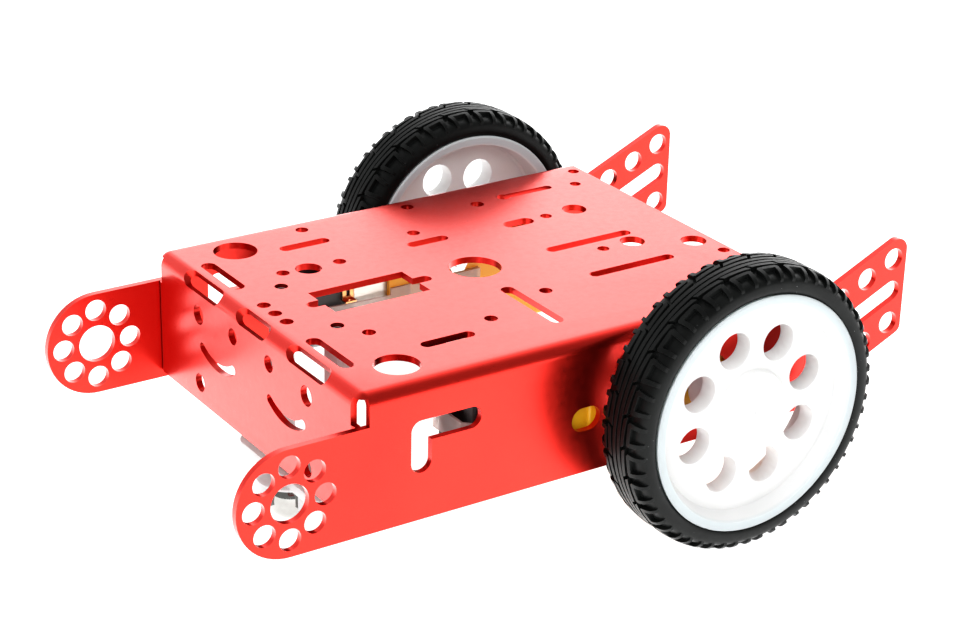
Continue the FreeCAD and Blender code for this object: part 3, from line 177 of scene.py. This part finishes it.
# ---------------------------------------------------------------- materials
def anodised_red():
    t = Material("anodised_red_grain")
    broad = t.noise(size=38.0, detail=3.0, rough=0.55)
    fine = t.noise(size=0.22, detail=3.0, rough=0.65)
    middle = t.noise(size=1.6)
    colour = t.mix(t.span(broad), (0.58, 0.016, 0.010), (0.66, 0.022, 0.013))
    colour = t.mix(t.span(fine, to=(0.0, 0.35)), colour, (0.70, 0.034, 0.020))
    # painted highlight: the edges are lightened to pale pink, in patches
    edge_highlight = t.times(t.edge(radius=0.28, gain=5.0),
                   by=t.span(middle, within=(0.35, 0.75), to=(0.02, 0.22)))
    colour = t.mix(edge_highlight, colour, (0.90, 0.12, 0.085))
    rough = t.maths("ADD", t.span(fine, within=(0.25, 0.75), to=(0.28, 0.38)),
                    t.span(middle, to=(-0.03, 0.03)))
    normal = t.bump(fine, depth=0.012, strength=0.55)
    normal = t.bump(t.noise(size=0.7), depth=0.006, strength=0.4, over=normal)
    t.surface(Base_Color=colour, Metallic=0.97, Roughness=rough, Normal=normal,
              Coat_Weight=0.5, Coat_Roughness=0.22, Coat_IOR=1.32)
    return t.material


def tyre_rubber():
    t = Material("moulded_rubber")
    radius = t.axle_distance()
    fine = t.noise(size=0.35, detail=3.0, rough=0.6)
    broad = t.noise(size=7.0)
    colour = t.mix(t.span(broad), (0.0060, 0.0065, 0.0063), (0.0110, 0.0120, 0.0115))

    # patches of dust specks, mostly on the side wall
    speck_spacing, speck_radius = 1.15, 0.085  # the radius is a share of the spacing
    speck = t.maths("LESS_THAN", t.cells(speck_spacing), speck_radius)
    side_wall = t.span(radius, within=(29.9, 30.6), to=(1.0, 0.15))
    patch = t.span(t.noise(size=6.0, detail=1.0), within=(0.52, 0.62))
    speck = t.times(t.times(speck, by=side_wall), by=patch)
    colour = t.mix(t.times(speck, by=0.75), colour, (0.22, 0.23, 0.23))

    # painted highlight: a greyer sheen along the edges
    edge_sheen = t.times(t.edge(radius=0.22), by=t.span(fine, to=(0.15, 0.55)))
    colour = t.mix(edge_sheen, colour, (0.040, 0.042, 0.042))
    rough = t.span(t.noise(size=1.1, detail=3.0, rough=0.6), within=(0.25, 0.75),
                   to=(0.34, 0.50))
    t.surface(Base_Color=colour, Roughness=rough, Specular_IOR_Level=0.13,
              Normal=t.bump(fine, depth=0.02, strength=0.35))
    return t.material


def white_nylon():
    t = Material("moulded_white_nylon")
    radius = t.axle_distance()
    broad = t.noise(size=14.0)
    colour = t.mix(t.span(broad), (0.79, 0.795, 0.79), (0.83, 0.832, 0.828))
    # painted shade: a cooler, darker ring at the lip of the rim
    lip_shade = t.times(t.span(radius, within=(24.6, 25.2)),
                  by=t.span(radius, within=(27.4, 27.9), to=(1.0, 0.0)))
    colour = t.mix(t.times(lip_shade, by=0.8), colour, (0.58, 0.66, 0.68))
    # painted highlight: the edges are lightened towards white
    colour = t.mix(t.times(t.edge(radius=0.3), by=0.25), colour, (0.97, 0.97, 0.97))
    rough = t.span(t.noise(size=0.9, detail=3.0, rough=0.6), to=(0.30, 0.42))
    normal = t.bump(t.noise(size=0.5), depth=0.008, strength=0.35)
    normal = t.bump(t.noise(size=9.0, detail=1.0), depth=0.05, strength=0.25, over=normal)
    t.surface(Base_Color=colour, Roughness=rough, Normal=normal, Specular_IOR_Level=0.2,
              Subsurface_Weight=0.55, Subsurface_Scale=0.005,
              Subsurface_Radius=(1.0, 1.0, 0.95))
    return t.material


def plastic(name, shades, edge_highlight_colour, rough, grain_depth, grain_size, edge_highlight_strength,
            scatter=0.0, clear=0.0):
    t = Material(name)
    broad = t.noise(size=9.0, detail=3.0, rough=0.55)
    colour = t.mix(t.span(broad), *shades)
    fine = t.noise(size=grain_size, detail=3.0, rough=0.6)
    # painted highlight: the edges are lightened towards a paler colour, in patches
    edge_highlight = t.times(t.edge(radius=0.25), by=t.span(
        t.noise(size=1.5), within=(0.35, 0.7), to=(0.2 * edge_highlight_strength, edge_highlight_strength)))
    colour = t.mix(edge_highlight, colour, edge_highlight_colour)
    t.surface(Base_Color=colour, Specular_IOR_Level=0.5,
              Roughness=t.span(fine, within=(0.25, 0.75), to=(rough - 0.06, rough + 0.08)),
              Normal=t.bump(fine, depth=grain_depth, strength=0.5))
    if scatter:
        t.surface(Subsurface_Weight=scatter, Subsurface_Scale=0.003,
                  Subsurface_Radius=(1.0, 0.97, 0.9))
    if clear:
        t.surface(Alpha=1.0 - clear)
    return t.material


def metal(name, shades, edge_highlight_colour, rough, stretch=(1.0, 1.0, 1.0), grain_depth=0.006):
    """Grained metal; a stretch below 1 draws the grain out along that axis."""
    t = Material(name)
    coords = t.scaled(t.coords, stretch)
    lines = t.noise(size=0.5, detail=4.0, rough=0.7, coords=coords)
    broad = t.noise(size=4.0, detail=3.0, rough=0.6)
    colour = t.mix(t.span(broad), *shades)
    dark = tuple(0.6 * v for v in shades[0])
    colour = t.mix(t.span(lines, within=(0.35, 0.65), to=(0.0, 0.25)), colour, dark)
    # painted highlight: the edges are lightened towards a paler colour
    colour = t.mix(t.times(t.edge(radius=0.18), by=0.4), colour, edge_highlight_colour)
    roughness = t.maths(
        "ADD", t.span(lines, within=(0.25, 0.75), to=(rough - 0.07, rough + 0.09)),
        t.span(broad, to=(-0.03, 0.05)))
    t.surface(Base_Color=colour, Metallic=1.0, Roughness=roughness,
              Normal=t.bump(lines, depth=grain_depth, strength=0.6))
    return t.material


def polished_ball():
    t = Material("polished_ball")
    scratches = t.noise(size=0.6, detail=6.0, rough=0.8, distort=2.0)
    fine = t.noise(size=0.15)
    colour = t.mix(t.span(t.noise(size=3.0)), (0.25, 0.247, 0.235), (0.30, 0.297, 0.285))
    t.surface(Base_Color=colour, Metallic=1.0,
              Roughness=t.span(scratches, within=(0.35, 0.75), to=(0.05, 0.16)),
              Normal=t.bump(fine, depth=0.001, strength=0.3))
    return t.material


# by material slot
MATERIALS = {
    "anodised_red": anodised_red(),
    "tyre_rubber": tyre_rubber(),
    "white_plastic": white_nylon(),
    "yellow_plastic": plastic(
        "moulded_yellow", shades=((0.90, 0.47, 0.010), (0.94, 0.52, 0.020)),
        edge_highlight_colour=(1.0, 0.68, 0.10), rough=0.36, grain_depth=0.010, grain_size=0.4,
        edge_highlight_strength=0.5, scatter=0.05),
    "black_plastic": plastic(
        "moulded_black", shades=((0.010, 0.010, 0.011), (0.016, 0.016, 0.017)),
        edge_highlight_colour=(0.06, 0.06, 0.062), rough=0.42, grain_depth=0.014, grain_size=0.25,
        edge_highlight_strength=0.6),
    "can_steel": metal(
        "drawn_can_steel", shades=((0.56, 0.55, 0.52), (0.66, 0.64, 0.60)),
        edge_highlight_colour=(0.85, 0.84, 0.80), rough=0.34, stretch=(0.12, 1.0, 1.0),
        grain_depth=0.008),
    "polished_steel": polished_ball(),
    "plated_steel": metal(
        "zinc_plated_steel", shades=((0.52, 0.53, 0.54), (0.66, 0.66, 0.65)),
        edge_highlight_colour=(0.88, 0.88, 0.87), rough=0.30, grain_depth=0.005),
    "brass": metal(
        "machined_brass", shades=((0.72, 0.50, 0.19), (0.80, 0.60, 0.27)),
        edge_highlight_colour=(0.95, 0.80, 0.50), rough=0.28, stretch=(1.0, 1.0, 0.1)),
    "copper": metal(
        "stamped_copper", shades=((0.75, 0.36, 0.14), (0.84, 0.48, 0.22)),
        edge_highlight_colour=(0.95, 0.70, 0.50), rough=0.32),
    "black_steel": metal(
        "black_oxide_steel", shades=((0.030, 0.030, 0.032), (0.055, 0.055, 0.056)),
        edge_highlight_colour=(0.22, 0.22, 0.22), rough=0.38, grain_depth=0.005),
    "strap_plastic": plastic(
        "moulded_ivory_strap", shades=((0.90, 0.89, 0.83), (0.94, 0.93, 0.88)),
        edge_highlight_colour=(0.97, 0.96, 0.92), rough=0.22, grain_depth=0.006, grain_size=0.5,
        edge_highlight_strength=0.7, scatter=0.3, clear=0.55),
    "magnet_ferrite": plastic(
        "sintered_ferrite", shades=((0.045, 0.045, 0.050), (0.070, 0.070, 0.075)),
        edge_highlight_colour=(0.16, 0.16, 0.17), rough=0.62, grain_depth=0.03, grain_size=0.2,
        edge_highlight_strength=0.5),
}

# ---------------------------------------------------------------- CAD pieces
# piece, without its side: (edge rounding, segments)
ROUNDING = {
    "chassis_frame": (0.10, 2), "caster_housing": (0.25, 2), "wheel_rim": (0.30, 3),
    "gearbox_outer_case": (0.22, 2), "gearbox_inner_case": (0.22, 2),
    "motor_can": (0.25, 2), "motor_endcap": (0.25, 2), "motor_strap": (0.12, 2),
    "motor_terminals": (0.05, 1), "mount_bolts": (0.10, 2), "mount_nuts": (0.10, 2),
    "gearbox_screws": (0.10, 2), "caster_screws": (0.10, 2),
    "caster_set_screws": (0.06, 1), "caster_standoffs": (0.12, 2),
    "output_shaft": (0.06, 1), "idler_gear": (0.04, 1), "crown_gear": (0.03, 1),
    "motor_pinion": (0.03, 1), "motor_rotor": (0.08, 1), "gear_pins": (0.08, 1),
    "motor_magnets": (0.1, 1),
}


def round_edges(obj, width, segments, min_angle):
    """Bevels the edges that turn by more than min_angle degrees."""
    bevel = obj.modifiers.new("round_edges", "BEVEL")
    bevel.width = width * MM
    bevel.segments = segments
    bevel.limit_method = "ANGLE"
    bevel.angle_limit = math.radians(min_angle)
    bevel.harden_normals = True
    return bevel


def finish_piece(name, obj, material):
    """Gives a CAD piece its material, smooth shading and rounded edges."""
    mesh = obj.data
    if mesh.materials:
        for i in range(len(mesh.materials)):
            mesh.materials[i] = material
    else:
        mesh.materials.append(material)
    if "custom_normal" in mesh.attributes:
        mesh.attributes.remove(mesh.attributes["custom_normal"])
    mesh.polygons.foreach_set("use_smooth", [True] * len(mesh.polygons))
    weld = obj.modifiers.new("weld", "WELD")
    weld.merge_threshold = 2e-6  # metres
    piece = name.split("_", 1)[1] if name.startswith(("left_", "right_")) else name
    if piece in ROUNDING:
        flats = obj.modifiers.new("merge_flats", "DECIMATE")
        flats.decimate_type = "DISSOLVE"
        flats.angle_limit = math.radians(0.15)
        width, segments = ROUNDING[piece]
        bevel = round_edges(obj, width, segments, min_angle=34)
        bevel.miter_outer = "MITER_ARC"
        bevel.use_clamp_overlap = True


slot_of = {part["node"]: part["material_slot"] for part in frame["record"]["subparts"]}
for name, obj in frame["nodes"].items():
    finish_piece(name, obj, MATERIALS[slot_of[name]])

# ---------------------------------------------------------------- tyres with moulded tread
# Across is measured along the axle from the tyre's middle, along is measured round the
# tyre at TREAD_RADIUS, and radius is measured from the axle.
TREAD_RADIUS = 32.5
TREAD_LENGTH = 2 * math.pi * TREAD_RADIUS
PITCHES = 28
PITCH = TREAD_LENGTH / PITCHES
TREAD_PHASE = 0.06  # radians
CARCASS_STEPS = 252
RIB_STEPS = PITCHES * 6

# (across, radius) of the top of the tread blocks
TREAD_TOP = [
    (0.0, 32.47), (2.9, 32.45), (4.2, 32.30), (5.3, 32.05),
    (6.1, 31.65), (6.7, 31.10), (7.05, 30.55), (7.2, 30.1),
]
# (across, radius) of the ground between the blocks
TREAD_BASE = [
    (0.0, 31.35), (4.0, 31.25), (5.6, 30.95), (6.4, 30.60), (6.85, 30.15), (7.12, 29.5),
]
# (across, radius) of half the carcass, from the middle of the tread to the bead
CARCASS_HALF = [
    (0.0, 31.35), (2.0, 31.33), (4.0, 31.25), (5.0, 31.08), (5.6, 30.95), (6.05, 30.78),
    (6.4, 30.60), (6.65, 30.38), (6.85, 30.12), (7.02, 29.78), (7.12, 29.35), (7.17, 28.9),
    (7.19, 28.5), (7.17, 28.1), (7.10, 27.75), (6.97, 27.45), (6.80, 27.15), (6.55, 26.95),
    (6.2, 26.85),
]
# (across, radius) of the underside, from bead to bead
CARCASS_UNDER = [(5.6, 26.45), (0.0, 26.4), (-5.6, 26.45)]

# how far a block's floor sinks below the ground, and at least below its own top
FLOOR_SINK = 0.35
MIN_BLOCK_HEIGHT = 0.5
# past this distance across, a block's floor is drawn in by this factor
SHOULDER = 5
SHOULDER_DRAW_IN = 0.985

# centre ribs
RIB_ACROSS = [0.22, 0.75, 1.25]
RIB_DROP = 0.06

# slanted blocks
SLANT_ALONG = [-3.35, -2.2, -1.1, 0.0, 1.1, 2.2, 3.35]
SLANT_ACROSS = [1.72, 2.25, 2.78]
END_SLANT = 0.62  # shift along per unit across
END_PIVOT = 2.3  # distance across where the shift is nil
STEP_OUT = 0.22  # shift across, reached at STEP_LENGTH along
STEP_LENGTH = 3.5

# shoulder arches
ARCH_ALONG = [-2.85, -2.55, -1.75, -0.6, 0.6, 1.75, 2.55, 2.85]
ARCH_ACROSS = [3.42, 3.80, 4.35, 4.95, 5.5, 6.0, 6.45, 6.8, 7.02]
ARCH_HEAD = 3.5  # only the arch's innermost line lies inside this distance across
CORNER_ACROSS = 3.62  # that line's two end points are moved out to here
CORNER_NARROWING = 0.86
HEAD_NARROWING = 0.97
ARCH_TAPER = 0.055  # narrowing per unit across beyond TAPER_START
TAPER_START = 4.0


def radius_at(profile, across):
    across = abs(across)
    for (a, radius_a), (b, radius_b) in zip(profile, profile[1:]):
        if across <= b:
            return radius_a + (radius_b - radius_a) * (across - a) / (b - a)
    return profile[-1][1]


def on_half(across, half):
    """Stations across, mirrored for the half of the tread where half is -1."""
    return across if half > 0 else [-v for v in reversed(across)]


class TyreMesh:
    """A tyre about the axle; mirror is 1 or -1 and flips it across its middle."""

    def __init__(self, name, mirror):
        low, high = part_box(name)
        self.middle = (low.y + high.y) / 2.0 * 1000.0
        self.mirror = mirror
        self.bm = bmesh.new()

    def vert(self, angle, across, radius):
        return self.bm.verts.new(Vector((
            AXLE_X + radius * math.cos(angle),
            self.middle + self.mirror * across,
            AXLE_Z + radius * math.sin(angle))) * MM)

    def face(self, verts):
        face = self.bm.faces.new(verts if self.mirror > 0 else list(reversed(verts)))
        face.smooth = True

    def carcass(self):
        """A closed profile turned round the axle."""
        other_half = [(-v, radius) for v, radius in reversed(CARCASS_HALF)][:-1]
        profile = CARCASS_HALF + CARCASS_UNDER + other_half
        rings = []
        for i in range(CARCASS_STEPS):
            angle = 2 * math.pi * i / CARCASS_STEPS
            rings.append([self.vert(angle, v, radius) for v, radius in profile])
        for i, ring in enumerate(rings):
            following = rings[(i + 1) % CARCASS_STEPS]
            for j in range(len(profile)):
                k = (j + 1) % len(profile)
                self.face([ring[j], ring[k], following[k], following[j]])

    def block(self, along, across, keep=None, warp=None, drop=0.0, closed=False):
        """A grid of cells with a top that follows the crown, walls and a sunken floor.

        keep(i, j) picks cells, warp(i, u, v) moves grid points, drop lowers the top, and
        closed joins the last column to the first.
        """
        columns = len(along)
        top, floor = {}, {}

        def corner(i, j):
            if (i, j) not in top:
                u, v = along[i], across[j]
                if warp:
                    u, v = warp(i, u, v)
                angle = u / TREAD_RADIUS + TREAD_PHASE
                crown = radius_at(TREAD_TOP, v)
                ground = radius_at(TREAD_BASE, v)
                top[i, j] = self.vert(angle, v, crown - drop)
                draw_in = SHOULDER_DRAW_IN if abs(v) > SHOULDER else 1.0
                floor[i, j] = self.vert(angle, v * draw_in,
                                        min(ground - FLOOR_SINK, crown - MIN_BLOCK_HEIGHT))
            return i, j

        cells = [(i, j) for i in range(columns if closed else columns - 1)
                 for j in range(len(across) - 1) if keep is None or keep(i, j)]
        for i, j in cells:
            i2 = (i + 1) % columns
            quad = [corner(i, j), corner(i, j + 1), corner(i2, j + 1), corner(i2, j)]
            self.face([top[key] for key in quad])
            self.face([floor[key] for key in reversed(quad)])

        # a wall wherever a cell has no neighbour
        kept = set(cells)
        for i, j in cells:
            i2 = (i + 1) % columns
            for neighbour, a, b in (
                (((i - 1) % columns, j), (i, j), (i, j + 1)),
                ((i2, j), (i2, j + 1), (i2, j)),
                ((i, j - 1), (i2, j), (i, j)),
                ((i, j + 1), (i, j + 1), (i2, j + 1)),
            ):
                if neighbour not in kept:
                    self.face([top[b], top[a], floor[a], floor[b]])

    def centre_rib(self, half):
        along = [TREAD_LENGTH * i / RIB_STEPS for i in range(RIB_STEPS)]
        self.block(along, on_half(RIB_ACROSS, half), drop=RIB_DROP, closed=True)

    def slanted_block(self, centre, half):
        """A block beside the centre rib; its slant makes the row step round the tyre."""
        def warp(i, u, v):
            return (centre + (u + END_SLANT * (abs(v) - END_PIVOT)),
                    v + STEP_OUT * half * u / STEP_LENGTH)

        self.block(SLANT_ALONG, on_half(SLANT_ACROSS, half), warp=warp)

    def shoulder_arch(self, centre, half):
        """A bar with two legs that run over the shoulder, open towards the side wall."""
        last_row = len(ARCH_ACROSS) - 2

        def warp(i, u, v):
            distance = abs(v)
            width = 1.0 - ARCH_TAPER * max(0.0, distance - TAPER_START)
            if distance < ARCH_HEAD:
                if i in (0, len(ARCH_ALONG) - 1):
                    u *= CORNER_NARROWING
                    v *= CORNER_ACROSS / ARCH_ACROSS[0]
                else:
                    u *= HEAD_NARROWING
            return centre + u * width, v

        def keep(i, j):
            row = j if half > 0 else last_row - j
            return row < 2 or i < 2 or i > 4

        self.block(ARCH_ALONG, on_half(ARCH_ACROSS, half), keep=keep, warp=warp)

    def to_object(self, name):
        mesh = bpy.data.meshes.new(name)
        bmesh.ops.recalc_face_normals(self.bm, faces=self.bm.faces[:])
        self.bm.to_mesh(mesh)
        self.bm.free()
        obj = bpy.data.objects.new(name, mesh)
        scene.collection.objects.link(obj)
        return obj


def make_tyre(name, mirror):
    tyre = TyreMesh(name, mirror)
    tyre.carcass()
    for half in (1, -1):
        tyre.centre_rib(half)
    for k in range(PITCHES):
        for half in (1, -1):
            # the two halves are staggered by half a pitch
            centre = k * PITCH + (PITCH / 2 if half < 0 else 0.0)
            tyre.slanted_block(centre, half)
            tyre.shoulder_arch(centre, half)
    obj = tyre.to_object(name + "_moulded")
    obj.data.materials.append(MATERIALS["tyre_rubber"])
    round_edges(obj, width=0.13, segments=2, min_angle=38)
    return obj


for side, mirror in (("left", 1.0), ("right", -1.0)):
    tyre = make_tyre(side + "_tyre", mirror)
    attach(tyre, side + "_wheel")
    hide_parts(side + "_tyre")


# ---------------------------------------------------------------- floor
def floor_material():
    t = Material("pale_floor")
    path = t.new("LightPath").outputs
    # the floor glows, and more so in the first mirror-like bounce
    glow, reflected_glow = 0.82, 1.5
    first_bounce = t.maths("LESS_THAN", path["Ray Depth"], 1.5)
    glossy = t.times(path["Is Glossy Ray"], by=first_bounce)
    t.surface(Base_Color=t.mix(t.span(t.noise(size=60.0)), (0.60, 0.60, 0.60),
                               (0.62, 0.62, 0.62)),
              Roughness=0.75, Specular_IOR_Level=0.1, Emission_Color=WHITE,
              Emission_Strength=t.maths("ADD", glow, t.times(glossy, by=reflected_glow)))
    # clear from below, so that the underside can be looked at
    clear = t.new("BsdfTransparent").outputs[0]
    pick = t.new("MixShader")
    t.put(pick.inputs[0], t.new("NewGeometry").outputs["Backfacing"])
    t.put(pick.inputs[1], t.principled.outputs[0])
    t.put(pick.inputs[2], clear)
    t.put(t.output.inputs[0], pick.outputs[0])
    return t.material


def make_floor():
    reach = 6.0  # metres from the middle to each side
    gap = 0.00002  # metres below z = 0
    mesh = bpy.data.meshes.new("floor")
    corners = [(-reach, -reach, 0), (reach, -reach, 0), (reach, reach, 0), (-reach, reach, 0)]
    mesh.from_pydata(corners, [], [(0, 1, 2, 3)])
    obj = bpy.data.objects.new("floor", mesh)
    obj.location.z = -gap
    scene.collection.objects.link(obj)
    mesh.materials.append(floor_material())


make_floor()


# ---------------------------------------------------------------- light
def make_world():
    """A bright sweep on the far side from the camera, and a dimmer room elsewhere."""
    world = bpy.data.worlds.new("studio")
    scene.world = world
    world.use_nodes = True
    t = Nodes(world.node_tree)
    background = world.node_tree.nodes["Background"]
    direction = t.new("TexCoord").outputs["Generated"]

    def toward(aim, within):
        """Rises from 0 to 1 as the cosine of the angle to aim crosses the range."""
        cosine = t.dot(direction, Vector(aim).normalized())
        return t.span(cosine, within=within, shape="SMOOTHSTEP")

    def brightness(base, *parts):
        total = base
        for glow, strength in parts:
            total = t.maths("MULTIPLY_ADD", glow, strength, total)
        return total

    def pick(factor, a, b):
        node = t.new("Mix")
        t.put(node.inputs["Factor"], factor)
        t.put(node.inputs[2], a)
        t.put(node.inputs[3], b)
        return node.outputs[0]

    far = toward((-0.84, -0.56, 0.34), within=(0.55, 0.98))
    low = toward((-0.30, -0.90, 0.05), within=(0.20, 0.85))
    near = toward((0.70, 0.55, 0.45), within=(0.55, 0.95))
    camera_left = toward((0.45, -0.72, 0.52), within=(0.60, 0.97))
    soft = brightness(0.07, (far, 1.22), (low, 0.35), (near, 0.45))
    glint = brightness(0.40, (far, 2.15), (low, 0.25), (camera_left, 0.55), (near, 0.10))

    # glint is for early mirror-like bounces, soft for the rest; the camera sees white
    path = t.new("LightPath").outputs
    early = t.maths("LESS_THAN", path["Ray Depth"], 2.5)
    level = pick(t.times(path["Is Glossy Ray"], by=early), soft, glint)
    t.put(background.inputs[1], pick(path["Is Camera Ray"], level, 1.0))
    t.put(background.inputs[0], WHITE)


def softbox(name, place, target, side, power):
    """A square lamp, hidden from reflections; place, target and side are in metres."""
    lamp = bpy.data.lights.new(name, "AREA")
    lamp.shape = "RECTANGLE"
    lamp.size = side
    lamp.size_y = side
    lamp.energy = power
    lamp.spread = math.pi
    obj = bpy.data.objects.new(name, lamp)
    scene.collection.objects.link(obj)
    place, target = Vector(place), Vector(target)
    obj.location = place
    obj.rotation_euler = (target - place).to_track_quat("-Z", "Y").to_euler()
    obj.visible_glossy = False


make_world()
softbox("top_softbox", place=(-0.1, 0.55, 1.1), target=(0, 0, 0.0), side=1.6, power=10.0)
softbox("front_softbox", place=(0.62, 0.62, 0.42), target=(0, 0, 0.03), side=0.8, power=2.3)

# ---------------------------------------------------------------- camera
CAMERA_PLACE = (278.7337, 417.3768, 258.6929)
# unit vectors of the camera's own X, Y and Z
CAMERA_RIGHT = (-0.83561282, 0.54887566, 0.02206163)
CAMERA_UP = (-0.2038964, -0.34720554, 0.91535489)
CAMERA_BACK = (0.51007594, 0.76038399, 0.40204317)


def make_camera():
    lens = bpy.data.cameras.new("camera")
    obj = bpy.data.objects.new("camera", lens)
    scene.collection.objects.link(obj)
    scene.camera = obj
    pose = Matrix((CAMERA_RIGHT, CAMERA_UP, CAMERA_BACK)).transposed().to_4x4()
    pose.translation = Vector(CAMERA_PLACE) * MM
    obj.matrix_world = pose
    lens.sensor_fit = "HORIZONTAL"
    lens.sensor_width = 36.0
    lens.lens = 90.592701
    # offsets of the view's centre, as shares of its width
    lens.shift_x = 0.00078350515
    lens.shift_y = 0.001
    lens.clip_start = 0.01  # metres


make_camera()

scene.view_settings.view_transform = "Standard"
scene.view_settings.look = "Medium High Contrast"
scene.view_settings.exposure = 0.0
